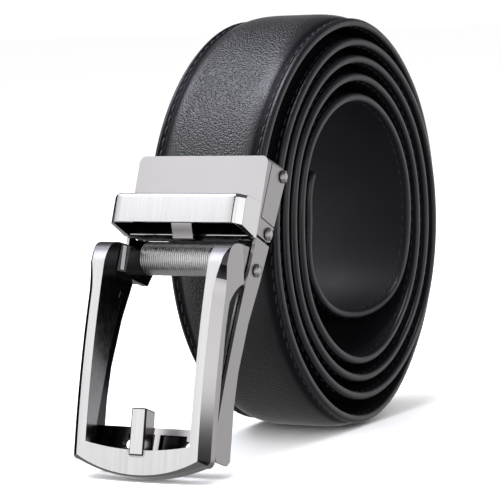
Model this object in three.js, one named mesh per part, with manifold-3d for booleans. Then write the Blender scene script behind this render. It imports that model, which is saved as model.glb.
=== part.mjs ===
// A ratchet belt: a padded leather strap wound into a coil that stands on its rim,
// with the metal buckle hanging from the outermost turn at the front.
// Millimetres. X runs along the coil's axis, -Y is the front with the buckle, +Z is up.
// The floor is Z = 0: the coil rests on its outer turn and the buckle on its curved foot.
import * as THREE from "three";
import { mergeVertices } from "three/addons/utils/BufferGeometryUtils.js";
import Module from "manifold-3d";

const wasm = await Module();
wasm.setup();

const DEGREE = Math.PI / 180;
const CLEARANCE = 0.3; // gap that touching pieces keep

// Strap
const STRAP_WIDTH = 35;
const EDGE_THICKNESS = 2.1; // leather at the strap's edges
const CROWN_RISE = 1.7; // padding over the middle of the outer face
const PRESSED_CROWN = 0.9; // the same padding where the clamp squeezes it
const HEM_WIDTH = 3.2; // flat border from the edge to the foot of the crown
const CROWN_SLOPE = 4.6; // width over which the crown rises
const EDGE_ROUND = 0.5; // rounding of the painted edges
const CLAMPED_LENGTH = 16.5; // strap inside the clamp

// Coil
const COIL_RADIUS = 60;
const COIL_SQUASH = 0.4; // how far the outer turn is flattened on the floor
const FLAT_BEHIND = 6; // the flat stretch on the floor, behind and ahead of the coil's lowest place
const FLAT_AHEAD = 3.5;
const MOUTH_ANGLE = 22.8; // where the outer turn enters the clamp, degrees above the front
const STEPS_PER_EIGHTH = 4;
// Reach of the strap's outer face from the coil's axis, as shares of COIL_RADIUS, eight ways
// round each turn from the buckle inwards. The last row is the free end.
const TURNS = [
  { front: 0.967, frontTop: 0.952, top: 0.95, backTop: 0.9, back: 0.877, backLow: 0.925, low: 0.975, frontLow: 0.878 },
  { front: 0.8, frontTop: 0.81, top: 0.858, backTop: 0.826, back: 0.805, backLow: 0.838, low: 0.865, frontLow: 0.782 },
  { front: 0.715, frontTop: 0.738, top: 0.777, backTop: 0.748, back: 0.722, backLow: 0.748, low: 0.778, frontLow: 0.708 },
  { front: 0.64, frontTop: 0.667, top: 0.692, backTop: 0.66, back: 0.628, backLow: 0.656, low: 0.693, frontLow: 0.635 },
  { front: 0.567, frontTop: 0.593, top: 0.597, backTop: 0.567, back: 0.53, backLow: 0.552, low: 0.477, frontLow: 0.4 },
  { front: 0.31, frontTop: 0.35 },
];
// Sideways shift of the strap along the coil's axis at those places, as shares of STRAP_WIDTH.
const SHIFTS = [
  { front: 0, frontTop: 0, top: 0, backTop: -0.04, back: -0.07, backLow: -0.07, low: -0.02, frontLow: 0 },
  { front: 0, frontTop: 0, top: 0, backTop: 0, back: 0, backLow: 0, low: 0, frontLow: 0 },
  { front: 0, frontTop: 0, top: 0, backTop: 0, back: 0, backLow: 0, low: 0, frontLow: 0 },
  { front: 0, frontTop: 0, top: 0, backTop: 0, back: 0, backLow: 0, low: 0, frontLow: 0 },
  { front: 0, frontTop: 0, top: 0, backTop: 0, back: 0, backLow: -0.04, low: -0.16, frontLow: -0.18 },
  { front: -0.18, frontTop: -0.18 },
];
const EIGHTHS = ["front", "frontTop", "top", "backTop", "back", "backLow", "low", "frontLow"];

// Buckle. Its lengths run down from the clamp's mouth and out from the strap's outer edge face.
const BUCKLE_LEAN = 22; // degrees from upright
const SHEET = 0.9; // folded sheet of clamp and chassis
const STRAP_PLAY = 2; // side room between the strap's edge and the clamp's cheek
const PIN_RADIUS = 0.8;
const PIN_HEAD_RADIUS = 1.85;
const PIN_HEAD_HEIGHT = 0.8;
const PIN_WALL = 1; // metal round each pin hole

const CLAMP_TOP = 0.8;
const CLAMP_DROP = 22.6; // lower edge of its front plate
const CLAMP_CORNER = 2;
const CLAMP_DEPTH = 9.4; // front plate to the rear edge of the cheeks
const SEAM = 0.35; // width and depth of the seam scored in each cheek

const JAW_PIN = { down: 4, out: -6.6 };
const JAW_LENGTH = 13.6; // from its pin to its free end
const JAW_PLATE = 1.2;
const JAW_TOOTH = 1.2;
const JAW_TEETH = 5;
const JAW_WIDTH = 34.4;
const JAW_KNUCKLE = 2.6; // the barrel's length at each side

const HINGE_PIN = { down: 21, out: -3.5 };

const BAR_TOP = 14.1;
const BAR_FACE_HEIGHT = 8.4;
const BAR_FACE_WIDTH = 36.6;
const BAR_WIDTH = 41.2;
const BAR_PROUD = 10.6; // how far its face stands in front of the clamp's
const BAR_WALL = 1.1;
const BAR_BACK_DROP = 2.6; // how far its back wall reaches below the face
const BAR_CORNER = 1.4;
const TAB_WIDTH = 6.4;
const TAB_THICKNESS = 1;

const CHASSIS_LENGTH = 61.4;
const CHASSIS_GAP = 0.7; // slit between the clamp's cheek and the chassis
const CROSS_PLATE_DROP = 53; // its top edge below the chassis's own
const CROSS_PLATE_THICKNESS = 2;
const CROSS_HOLE_RADIUS = 1.3;
const CROSS_HOLE_SPACING = 18.6;
const POCKET_WIDTH = 8.4;
const POCKET_DEPTH = 1;

const CAM_PIN = { down: 31.9, out: -0.6 };
const ROLLER_RADIUS = 4.6;
const ROLLER_OFFSET = { down: -3, out: -0.7 }; // the grip roller sits off its pin as a cam
const ROLLER_WIDTH = 31;
const ROLLER_GROOVES = 46;
const ROLLER_GROOVE_DEPTH = 0.25;
const ROLLER_SIDES = 24;

const FRAME_FACE_WIDTH = 37.6; // flat front face between the side chamfers
const FRAME_CHAMFER = 2.5;
const FRAME_OPENING = 32.4;
const FRAME_BAR_HEIGHT = 6.2; // bottom bar at its middle
const FRAME_FOOT_SAGITTA = 3.6; // bow of the bottom edge
const FRAME_SHOULDER = 34.4; // where the lugs meet the flat front face
const FRAME_FACE_OUT = 17; // front face there
const FRAME_FACE_FALL = 6.9; // how far the face curves back by the foot
const LUG_RISE = 6.4; // lug tops above the shoulder
const EAR_RADIUS = 4.4; // the ears round their pin
const RAIL_INSET = 2.3; // inner rail behind the side, inset from the side face
const FOOT_DEPTH = 6; // front to back at the foot

const PRONG_WIDTH = 4.6;
const PRONG_LENGTH = 12.4;
const PRONG_DEPTH = 4.8;
const PRONG_SEAT = 1.6; // how deep the prong's foot is let into the bottom bar

// Places that follow from the sizes above
const clampFace = PRESSED_CROWN + CLEARANCE + SHEET;
const cheekInner = STRAP_WIDTH / 2 + STRAP_PLAY;
const cheekOuter = cheekInner + SHEET;
const earOuter = cheekInner - CLEARANCE;
const barBack = clampFace + CLEARANCE;
const barFace = clampFace + BAR_PROUD;
const barBottom = BAR_TOP + BAR_FACE_HEIGHT;
const frameSide = FRAME_FACE_WIDTH / 2 + FRAME_CHAMFER;
const chassisTop = CLAMP_DROP + CHASSIS_GAP;
const coilAxis = COIL_RADIUS * TURNS[0].low + CROWN_RISE - COIL_SQUASH;

const STEEL = { color: 0x9a979a, roughness: 0.28, metalness: 1 };
const BRUSHED = { color: 0xd8d4d4, roughness: 0.4, metalness: 1 };
const DARK_STEEL = { color: 0x5e5b60, roughness: 0.2, metalness: 1 };
const LEATHER = { color: 0x1a1a1d, roughness: 0.55, metalness: 0 };

// Turns a closed geometry into a solid that can be cut and joined.
function solidOf(geometry) {
  const bare = geometry.clone();
  bare.deleteAttribute("normal");
  bare.deleteAttribute("uv");
  const merged = mergeVertices(bare, 1e-4);
  return new wasm.Manifold(
    new wasm.Mesh({
      numProp: 3,
      vertProperties: merged.attributes.position.array,
      triVerts: new Uint32Array(merged.index.array),
    }),
  );
}

// Turns a solid back into a named mesh of its own material.
function meshOf(name, solid, finish) {
  const { numProp, vertProperties, triVerts } = solid.getMesh();
  const positions = [];
  for (let i = 0; i < vertProperties.length; i += numProp) {
    positions.push(vertProperties[i], vertProperties[i + 1], vertProperties[i + 2]);
  }
  const geometry = new THREE.BufferGeometry();
  geometry.setAttribute("position", new THREE.Float32BufferAttribute(positions, 3));
  geometry.setIndex([...triVerts]);
  geometry.computeVertexNormals();
  const mesh = new THREE.Mesh(geometry, new THREE.MeshStandardMaterial(finish));
  mesh.name = name;
  return mesh;
}

// A ring of points per station, joined into one closed body with a flat cap on each end.
function loft(rings, section) {
  const count = section.length;
  const positions = rings.flat().flatMap((point) => point.toArray());
  const faces = [];
  for (let i = 0; i + 1 < rings.length; i++) {
    for (let j = 0; j < count; j++) {
      const next = (j + 1) % count;
      const [a, b] = [i * count + j, i * count + next];
      faces.push(a, b, b + count, a, b + count, a + count);
    }
  }
  const last = (rings.length - 1) * count;
  for (const [a, b, c] of THREE.ShapeUtils.triangulateShape(section, [])) {
    faces.push(a, c, b, last + a, last + b, last + c);
  }
  const geometry = new THREE.BufferGeometry();
  geometry.setAttribute("position", new THREE.Float32BufferAttribute(positions, 3));
  geometry.setIndex(faces);
  return geometry;
}

// A shape drawn in the side view, from { down, out } corners.
function sideShape(corners) {
  return new THREE.Shape(corners.map(({ down, out }) => new THREE.Vector2(-out, -down)));
}

// A side-view shape as a solid between two places across the buckle.
function slab(shape, from, to, curveSegments = 8) {
  const geometry = new THREE.ExtrudeGeometry(shape, {
    depth: to - from,
    bevelEnabled: false,
    curveSegments,
  });
  const turn = new THREE.Matrix4().set(0, 0, 1, from, 1, 0, 0, 0, 0, 1, 0, 0, 0, 0, 0, 1);
  return solidOf(geometry.applyMatrix4(turn));
}

// The same slab at both sides, mirrored.
function slabPair(shape, inner, outer) {
  return slab(shape, inner, outer).add(slab(shape, -outer, -inner));
}

// A shape drawn in the front view, x across and y up, as a solid between two depths.
function plate(shape, back, front, curveSegments = 8) {
  const geometry = new THREE.ExtrudeGeometry(shape, {
    depth: front - back,
    bevelEnabled: false,
    curveSegments,
  });
  const turn = new THREE.Matrix4().set(1, 0, 0, 0, 0, 0, -1, -back, 0, 1, 0, 0, 0, 0, 0, 1);
  return solidOf(geometry.applyMatrix4(turn));
}

function rectangle(left, right, bottom, top) {
  const shape = new THREE.Shape();
  shape.moveTo(left, bottom).lineTo(right, bottom).lineTo(right, top).lineTo(left, top);
  return shape;
}

// A round bar across the buckle at a { down, out } place.
function crossbar(place, radius, from, to, sides = 16) {
  const shape = new THREE.Shape();
  shape.absarc(-place.out, -place.down, radius, 0, 2 * Math.PI);
  return slab(shape, from, to, sides);
}

const at = (down, out) => ({ down, out });

// The strap's section: x across, y outwards from the outer face of its edges.
function strapSection(crown) {
  const edge = STRAP_WIDTH / 2;
  const foot = edge - HEM_WIDTH;
  const top = foot - CROWN_SLOPE;
  const half = [
    [edge - EDGE_ROUND, -EDGE_THICKNESS],
    [edge, EDGE_ROUND - EDGE_THICKNESS],
    [edge, -EDGE_ROUND],
    [edge - EDGE_ROUND, 0],
    [foot, 0],
    [foot - CROWN_SLOPE * 0.35, crown * 0.6],
    [top, crown * 0.93],
  ];
  const mirrored = half.map(([x, y]) => [-x, y]).reverse();
  return [...half, [0, crown], ...mirrored].map(([x, y]) => new THREE.Vector2(x, y));
}

// The coil's reach and sideways shift at any number of eighths from the front.
function coilRoute() {
  const knots = TURNS.flatMap((turn, i) =>
    EIGHTHS.filter((name) => name in turn).map(
      (name) => new THREE.Vector2(turn[name] * COIL_RADIUS, SHIFTS[i][name] * STRAP_WIDTH),
    ),
  );
  const curve = new THREE.SplineCurve(knots);
  return { eighths: knots.length - 1, sample: (k) => curve.getPoint(k / (knots.length - 1)) };
}

const route = coilRoute();

// A point on the strap's outer edge face, midway across it.
function coilPoint(eighth) {
  const { x: reach, y: shift } = route.sample(eighth);
  const angle = (eighth * Math.PI) / 4;
  return new THREE.Vector3(shift, -reach * Math.cos(angle), coilAxis + reach * Math.sin(angle));
}

const mouth = coilPoint(MOUTH_ANGLE / 45);
const lean = BUCKLE_LEAN * DEGREE;
const footDrop = mouth.z / Math.cos(lean) + footOut() * Math.tan(lean);

// How far out the heel of the buckle's foot lies, which is what meets the floor.
function footOut() {
  return FRAME_FACE_OUT - FRAME_FACE_FALL - FOOT_DEPTH;
}

// Where the strap's sections stand round the coil, in eighths, with the flat stretch on the floor
// taking the place of the sections near it.
function stations() {
  const start = MOUTH_ANGLE / 45;
  const steps = Math.round((route.eighths - start) * STEPS_PER_EIGHTH);
  const lowest = EIGHTHS.indexOf("low");
  const eighthLength = (COIL_RADIUS * Math.PI) / 4;
  const flat = [lowest - FLAT_BEHIND / eighthLength, lowest + FLAT_AHEAD / eighthLength];
  const even = Array.from({ length: steps }, (_, i) => start + ((route.eighths - start) * (i + 1)) / steps);
  const room = 0.25 / STEPS_PER_EIGHTH;
  const clear = even.filter((eighth) => eighth < flat[0] - room || eighth > flat[1] + room);
  return [...clear, ...flat].sort((a, b) => a - b);
}

function strap() {
  const rings = [];
  const straight = new THREE.Vector3(0, -Math.sin(lean), -Math.cos(lean));
  const outward = new THREE.Vector3(0, -Math.cos(lean), Math.sin(lean));
  const pressed = strapSection(PRESSED_CROWN);
  const place = (section, centre, normal) =>
    section.map((p) => {
      const point = centre.clone().addScaledVector(normal, p.y);
      point.x += p.x;
      point.z = Math.max(point.z, 0);
      return point;
    });
  rings.push(place(pressed, mouth.clone().addScaledVector(straight, CLAMPED_LENGTH), outward));
  rings.push(place(pressed, mouth, outward));
  stations().forEach((eighth, i) => {
    const step = 0.02;
    const before = coilPoint(Math.max(eighth - step, 0));
    const after = coilPoint(Math.min(eighth + step, route.eighths));
    const tangent = after.sub(before).setX(0).normalize();
    const normal = new THREE.Vector3(0, -tangent.z, tangent.y);
    const crown = THREE.MathUtils.lerp(PRESSED_CROWN, CROWN_RISE, Math.min((i + 1) / 3, 1));
    rings.push(place(strapSection(crown), coilPoint(eighth), normal));
  });
  return solidOf(loft(rings.reverse(), pressed));
}

// Folded sheet: a front plate over the strap's end, and a cheek down each side.
function clamp() {
  const cheekBack = clampFace - CLAMP_DEPTH;
  const around = PIN_RADIUS + PIN_WALL;
  const side = sideShape([
    at(CLAMP_TOP, clampFace),
    at(CLAMP_DROP, clampFace),
    at(CLAMP_DROP + 0.6, HINGE_PIN.out),
    at(HINGE_PIN.down + around, HINGE_PIN.out - around),
    at(HINGE_PIN.down - around, HINGE_PIN.out - around * 1.4),
    at(JAW_PIN.down + around, JAW_PIN.out - around * 0.8),
    at(JAW_PIN.down, JAW_PIN.out - around),
    at(JAW_PIN.down - around, JAW_PIN.out - around * 0.4),
    at(CLAMP_TOP, cheekBack + CLAMP_DEPTH * 0.6),
  ]);
  const block = slab(side, -cheekOuter, cheekOuter);
  const inside = slab(
    sideShape([
      at(CLAMP_TOP - 2, clampFace - SHEET),
      at(CLAMP_DROP + 3, clampFace - SHEET),
      at(CLAMP_DROP + 3, cheekBack - 4),
      at(CLAMP_TOP - 2, cheekBack - 4),
    ]),
    -cheekInner,
    cheekInner,
  );
  const front = rectangle(-cheekOuter, cheekOuter, -CLAMP_DROP - 3, -CLAMP_TOP - CLAMP_CORNER);
  const crown = new THREE.Shape();
  crown.moveTo(-cheekOuter, -CLAMP_TOP - CLAMP_CORNER);
  crown.absarc(-cheekOuter + CLAMP_CORNER, -CLAMP_TOP - CLAMP_CORNER, CLAMP_CORNER, Math.PI, Math.PI / 2, true);
  crown.absarc(cheekOuter - CLAMP_CORNER, -CLAMP_TOP - CLAMP_CORNER, CLAMP_CORNER, Math.PI / 2, 0, true);
  const outline = plate(front, cheekBack - 4, clampFace).add(plate(crown, cheekBack - 4, clampFace, 6));
  return block
    .subtract(inside)
    .intersect(outline)
    .subtract(pinHole(HINGE_PIN))
    .subtract(pinHole(JAW_PIN))
    .subtract(clampSeam());
}

// The scored outline of the jaw's housing on each cheek.
function clampSeam() {
  const corners = [
    at(CLAMP_TOP - 1, clampFace - 2.5),
    at(17.7, clampFace - 0.9),
    at(HINGE_PIN.down - 2.4, HINGE_PIN.out - 3.4),
  ];
  let seam = null;
  for (let i = 0; i + 1 < corners.length; i++) {
    const [a, b] = [corners[i], corners[i + 1]];
    const across = new THREE.Vector2(b.out - a.out, a.down - b.down).setLength(SEAM / 2);
    const strip = sideShape([
      at(a.down + across.x, a.out + across.y),
      at(b.down + across.x, b.out + across.y),
      at(b.down - across.x, b.out - across.y),
      at(a.down - across.x, a.out - across.y),
    ]);
    const cut = slabPair(strip, cheekOuter - SEAM, cheekOuter + 1);
    seam = seam ? seam.add(cut) : cut;
  }
  return seam;
}

function pinHole(place) {
  return crossbar(place, PIN_RADIUS + CLEARANCE, -frameSide - 5, frameSide + 5);
}

// A pin right across the buckle with a domed head on each end.
function headedPin(place) {
  const shaft = crossbar(place, PIN_RADIUS, -cheekOuter - PIN_HEAD_HEIGHT / 2, cheekOuter + PIN_HEAD_HEIGHT / 2, 12);
  const profile = [new THREE.Vector2(0, 0), new THREE.Vector2(PIN_HEAD_RADIUS, 0)];
  for (let i = 1; i <= 3; i++) {
    const angle = (i * Math.PI) / 6;
    profile.push(
      new THREE.Vector2(PIN_HEAD_RADIUS * Math.cos(angle), PIN_HEAD_HEIGHT * Math.sin(angle)),
    );
  }
  profile[profile.length - 1].x = 0;
  const heads = [1, -1].map((side) => {
    const head = new THREE.LatheGeometry(profile, 20);
    head.rotateZ((-side * Math.PI) / 2);
    head.translate(side * (cheekOuter + CLEARANCE), -place.out, -place.down);
    return solidOf(head);
  });
  return shaft.add(heads[0]).add(heads[1]);
}

// The toothed plate behind the strap's end, on a barrel round the jaw pin.
function jaw() {
  const round = PIN_RADIUS + CLEARANCE + PIN_WALL * 0.8;
  const knuckles = [-JAW_WIDTH / 2, JAW_WIDTH / 2 - JAW_KNUCKLE].map((from) =>
    crossbar(JAW_PIN, round, from, from + JAW_KNUCKLE),
  );
  const toothTip = -EDGE_THICKNESS - CLEARANCE;
  const inner = toothTip - JAW_TOOTH;
  const outer = inner - JAW_PLATE;
  const end = JAW_PIN.down + JAW_LENGTH;
  const start = JAW_PIN.down + 3;
  const corners = [at(JAW_PIN.down + 1, JAW_PIN.out + 1), at(JAW_PIN.down - 0.6, JAW_PIN.out + 1.9), at(start, inner)];
  const pitch = (end - start) / JAW_TEETH;
  for (let i = 0; i < JAW_TEETH; i++) {
    corners.push(at(start + pitch * (i + 0.5), toothTip), at(start + pitch * (i + 1), inner));
  }
  corners.push(at(end, outer), at(start, outer));
  return slab(sideShape(corners), -JAW_WIDTH / 2, JAW_WIDTH / 2)
    .add(knuckles[0])
    .add(knuckles[1])
    .subtract(pinHole(JAW_PIN));
}

// Hollow cover bar in front of the clamp, open below, with a tab bent down from its back wall.
function coverBar() {
  const bevel = (BAR_WIDTH - BAR_FACE_WIDTH) / 2;
  const section = [
    [-BAR_WIDTH / 2, barBack],
    [BAR_WIDTH / 2, barBack],
    [BAR_WIDTH / 2, barFace - bevel],
    [BAR_FACE_WIDTH / 2, barFace],
    [-BAR_FACE_WIDTH / 2, barFace],
    [-BAR_WIDTH / 2, barFace - bevel],
  ].map(([x, y]) => new THREE.Vector2(x, y));
  const ring = (down) => section.map((p) => new THREE.Vector3(p.x, -p.y, -down));
  const deepest = barBottom + BAR_BACK_DROP;
  const blank = solidOf(loft([ring(BAR_TOP - 1), ring(deepest + 1)], section));
  const side = new THREE.Shape();
  side.moveTo(-barBack, -BAR_TOP).lineTo(-barBack, -deepest).lineTo(-barBack - 1, -deepest);
  side.lineTo(-barBack - 1.8, -barBottom - 1.2).lineTo(-barFace, -barBottom);
  side.lineTo(-barFace, -BAR_TOP - BAR_CORNER);
  side.quadraticCurveTo(-barFace, -BAR_TOP, -barFace + BAR_CORNER, -BAR_TOP);
  const hollow = slab(
    sideShape([
      at(BAR_TOP + BAR_WALL, barBack + BAR_WALL),
      at(BAR_TOP + BAR_WALL, barFace - BAR_WALL),
      at(deepest + 2, barFace - BAR_WALL),
      at(deepest + 2, barBack + BAR_WALL),
    ]),
    -BAR_WIDTH / 2 + BAR_WALL * 1.4,
    BAR_WIDTH / 2 - BAR_WALL * 1.4,
  );
  const tab = slab(
    sideShape([
      at(BAR_TOP + BAR_WALL * 0.5, barBack + 4.6),
      at(BAR_TOP + BAR_WALL * 0.5, barBack + 4.6 + TAB_THICKNESS),
      at(barBottom - 1, barBack + 4.6 + TAB_THICKNESS),
      at(deepest, barBack + 2.4 + TAB_THICKNESS),
      at(deepest, barBack + 2.4),
      at(barBottom - 1, barBack + 4.6),
    ]),
    -TAB_WIDTH / 2,
    TAB_WIDTH / 2,
  );
  return blank.intersect(slab(side, -BAR_WIDTH, BAR_WIDTH)).subtract(hollow).add(tab);
}

// Two long side plates below the clamp, tied by a cross plate near the foot.
function chassis() {
  const end = chassisTop + CHASSIS_LENGTH;
  const side = sideShape([
    at(chassisTop, clampFace),
    at(barBottom + BAR_BACK_DROP + CLEARANCE, clampFace),
    at(CAM_PIN.down, 2.7),
    at(CAM_PIN.down + 6, 3.9),
    at(CAM_PIN.down + 18, 5.2),
    at(CAM_PIN.down + 31, 6.2),
    at(CAM_PIN.down + 45.5, 6.8),
    at(end - 1.6, 5.7),
    at(end, 4.4),
    at(end, -1.2),
    at(end - 1.4, -2.3),
    at(CAM_PIN.down + 37, 0),
    at(CAM_PIN.down + 28, 0.5),
    at(CAM_PIN.down + 14.5, -0.7),
    at(CAM_PIN.down + 3, -3.2),
    at(chassisTop + 0.8, HINGE_PIN.out - 1.6),
    at(chassisTop + 0.6, HINGE_PIN.out),
  ]);
  const reach = PIN_RADIUS + CLEARANCE + PIN_WALL;
  const lugOuter = cheekInner - CLEARANCE;
  const lug = sideShape([
    at(HINGE_PIN.down - reach * 0.5, HINGE_PIN.out + reach),
    at(chassisTop + 3, HINGE_PIN.out + reach),
    at(chassisTop + 3, HINGE_PIN.out - reach * 0.8),
    at(HINGE_PIN.down, HINGE_PIN.out - reach),
    at(HINGE_PIN.down - reach, HINGE_PIN.out - reach * 0.4),
    at(HINGE_PIN.down - reach, HINGE_PIN.out + reach * 0.4),
  ]);
  const bridge = sideShape([
    at(chassisTop + 1, HINGE_PIN.out + reach),
    at(chassisTop + 3, HINGE_PIN.out + reach),
    at(chassisTop + 3, HINGE_PIN.out - reach * 0.6),
    at(chassisTop + 1, HINGE_PIN.out - reach * 0.6),
  ]);
  return slabPair(side, cheekInner, cheekOuter)
    .add(slabPair(lug, lugOuter - 1, lugOuter))
    .add(slabPair(bridge, lugOuter - 0.5, cheekInner + 0.4))
    .add(crossPlate())
    .subtract(pinHole(HINGE_PIN))
    .subtract(pinHole(CAM_PIN));
}

function crossPlate() {
  const top = chassisTop + CROSS_PLATE_DROP;
  const bottom = chassisTop + CHASSIS_LENGTH - 1;
  const front = 2.5;
  const back = front - CROSS_PLATE_THICKNESS;
  const blank = plate(rectangle(-cheekInner - 0.4, cheekInner + 0.4, -bottom, -top), back, front);
  const middle = -(top + 4.4);
  const cuts = [1, -1].map((side) => {
    const hole = new THREE.Shape();
    hole.absarc((side * CROSS_HOLE_SPACING) / 2, middle, CROSS_HOLE_RADIUS, 0, 2 * Math.PI);
    const [a, b] = [side * 0.8, side * (0.8 + POCKET_WIDTH)].sort((p, q) => p - q);
    const pocket = rectangle(a, b, middle - 2.6, middle + 2.6);
    return plate(hole, back - 1, front + 1, 8).add(plate(pocket, front - POCKET_DEPTH, front + 1));
  });
  return blank.subtract(cuts[0]).subtract(cuts[1]);
}

// The grooved roller that grips a strap, set off its pin so that it works as a cam.
function gripRoller() {
  const pitch = ROLLER_WIDTH / ROLLER_GROOVES;
  const profile = [new THREE.Vector2(0, -ROLLER_WIDTH / 2)];
  for (let i = 0; i < ROLLER_GROOVES; i += 2) {
    const start = -ROLLER_WIDTH / 2 + i * pitch;
    profile.push(new THREE.Vector2(ROLLER_RADIUS, start));
    profile.push(new THREE.Vector2(ROLLER_RADIUS - ROLLER_GROOVE_DEPTH, start + pitch));
  }
  profile.push(new THREE.Vector2(ROLLER_RADIUS, ROLLER_WIDTH / 2));
  profile.push(new THREE.Vector2(0, ROLLER_WIDTH / 2));
  const geometry = new THREE.LatheGeometry(profile, ROLLER_SIDES);
  geometry.rotateZ(-Math.PI / 2);
  geometry.translate(0, -CAM_PIN.out - ROLLER_OFFSET.out, -CAM_PIN.down - ROLLER_OFFSET.down);
  return solidOf(geometry).subtract(pinHole(CAM_PIN));
}

// Front face of the buckle frame: how far out it is at any distance down.
function faceCurve() {
  return new THREE.QuadraticBezierCurve(
    new THREE.Vector2(FRAME_SHOULDER, FRAME_FACE_OUT),
    new THREE.Vector2((FRAME_SHOULDER + footDrop) / 2, FRAME_FACE_OUT - FRAME_FACE_FALL * 0.14),
    new THREE.Vector2(footDrop, FRAME_FACE_OUT - FRAME_FACE_FALL),
  );
}

// The frame's blank: flat face, growing side chamfers and square sides, followed down its curve.
function frameBlank() {
  const places = faceCurve().getPoints(12);
  const section = (out, chamfer, side) => [
    new THREE.Vector2(-side, -EAR_RADIUS * 2),
    new THREE.Vector2(side, -EAR_RADIUS * 2),
    new THREE.Vector2(side, out - chamfer),
    new THREE.Vector2(side - chamfer, out),
    new THREE.Vector2(chamfer - side, out),
    new THREE.Vector2(-side, out - chamfer),
  ];
  const ringAt = (down, out, chamfer, side) =>
    section(out, chamfer, side).map((p) => new THREE.Vector3(p.x, -p.y, -down));
  const least = 0.05;
  const rings = [ringAt(FRAME_SHOULDER - 9, FRAME_FACE_OUT, least, earOuter)];
  for (const { x: down, y: out } of places) {
    const grown = THREE.MathUtils.smoothstep(down, FRAME_SHOULDER - 1, FRAME_SHOULDER + 12);
    const side = THREE.MathUtils.lerp(earOuter, frameSide, Math.min(1, (down - FRAME_SHOULDER) / 4 + 0.6));
    rings.push(ringAt(down, out, Math.max(FRAME_CHAMFER * grown, least), side));
  }
  const { x: down, y: out } = places[places.length - 1];
  rings.push(ringAt(down + 2, out - 0.4, FRAME_CHAMFER, frameSide));
  return solidOf(loft(rings, section(FRAME_FACE_OUT, FRAME_CHAMFER, frameSide)));
}

// Side outline of the whole frame: lug, front face, foot, rear edge and ear.
function frameSideShape() {
  const shape = new THREE.Shape();
  const rear = frameRear();
  shape.moveTo(-rear.top.out, -rear.top.down);
  shape.lineTo(-11.3, -FRAME_SHOULDER + LUG_RISE);
  shape.quadraticCurveTo(-15.4, -FRAME_SHOULDER + LUG_RISE - 0.4, -FRAME_FACE_OUT - 0.1, -FRAME_SHOULDER);
  shape.lineTo(-FRAME_FACE_OUT - 1, -footDrop - 1);
  shape.lineTo(-footOut(), -footDrop - 1);
  shape.lineTo(-footOut(), -footDrop);
  for (const { down, out } of rear.edge) shape.lineTo(-out, -down);
  const start = Math.PI * 1.5 - 0.5;
  shape.absarc(-CAM_PIN.out, -CAM_PIN.down, EAR_RADIUS, start - 0.1, start + Math.PI + 0.3, false);
  return shape;
}

function frameRear() {
  return {
    top: at(CAM_PIN.down - EAR_RADIUS, 4.8),
    edge: [
      at(footDrop - 3.6, footOut() + 1.2),
      at(footDrop - 6, footOut() + 2.5),
      at(footDrop - 14, 7.8),
      at(CAM_PIN.down + 9.3, 7.3),
      at(CAM_PIN.down + 6.4, 6.6),
      at(CAM_PIN.down + 4.8, 4.9),
    ],
  };
}

// What the side faces lose behind the chamfer, where the inner rail shows.
function frameRecess() {
  const corners = [
    at(CAM_PIN.down + 5.8, 6.3),
    at(CAM_PIN.down + 8, 9),
    at(CAM_PIN.down + 10.5, 10.6),
    at(CAM_PIN.down + 18, 10.8),
    at(footDrop - 14, 8),
    at(footDrop - 14, 3),
    at(CAM_PIN.down + 5.8, 3),
  ];
  const ear = [
    at(CAM_PIN.down - EAR_RADIUS - 1, -EAR_RADIUS * 2),
    at(CAM_PIN.down - EAR_RADIUS - 1, 9),
    at(CAM_PIN.down + 5.8, 6.3),
    at(CAM_PIN.down + 5.8, -EAR_RADIUS * 2),
  ];
  const rail = slabPair(sideShape(corners), frameSide - RAIL_INSET, frameSide + 1);
  return rail.add(slabPair(sideShape(ear), earOuter, frameSide + 1));
}

// The opening between the sides, with the bowed upper edge of the bottom bar.
function frameOpening() {
  const half = FRAME_OPENING / 2;
  const sill = footDrop - FRAME_BAR_HEIGHT;
  const shape = new THREE.Shape();
  shape.moveTo(-half, 0).lineTo(-half, -sill + 1.6);
  shape.quadraticCurveTo(0, -sill - 1.6, half, -sill + 1.6);
  shape.lineTo(half, 0);
  return plate(shape, -EAR_RADIUS * 3, FRAME_FACE_OUT + 2, 10);
}

// Front outline with the bowed foot.
function frameFoot() {
  const corner = footDrop - FRAME_FOOT_SAGITTA;
  const shape = new THREE.Shape();
  shape.moveTo(-frameSide - 1, 0).lineTo(-frameSide - 1, -corner + 0.5);
  shape.lineTo(-frameSide + 1.6, -corner - 0.4);
  shape.quadraticCurveTo(0, -footDrop - FRAME_FOOT_SAGITTA + 0.4, frameSide - 1.6, -corner - 0.4);
  shape.lineTo(frameSide + 1, -corner + 0.5).lineTo(frameSide + 1, 0);
  return plate(shape, -EAR_RADIUS * 3, FRAME_FACE_OUT + 2, 14);
}

function frontFrame() {
  return frameBlank()
    .intersect(slab(frameSideShape(), -frameSide - 1, frameSide + 1, 10))
    .intersect(frameFoot())
    .subtract(frameOpening())
    .subtract(frameRecess())
    .subtract(pinHole(CAM_PIN))
    .subtract(prongShape(CLEARANCE));
}

// The false prong, let into the bottom bar; a margin makes its seat.
function prongShape(margin) {
  const bottom = footDrop - FRAME_BAR_HEIGHT + PRONG_SEAT + margin;
  const top = footDrop - FRAME_BAR_HEIGHT + PRONG_SEAT - PRONG_LENGTH;
  const frontTop = FRAME_FACE_OUT - FRAME_FACE_FALL * 0.5;
  const frontBottom = FRAME_FACE_OUT - FRAME_FACE_FALL * 0.8;
  const shape = sideShape([
    at(top, frontTop + margin),
    at(bottom, frontBottom + margin),
    at(bottom, frontBottom - PRONG_DEPTH - margin),
    at(top, frontTop - PRONG_DEPTH - margin),
  ]);
  return slab(shape, -PRONG_WIDTH / 2 - margin, PRONG_WIDTH / 2 + margin);
}

const belt = new THREE.Group();
belt.add(meshOf("strap", strap(), LEATHER));

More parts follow.
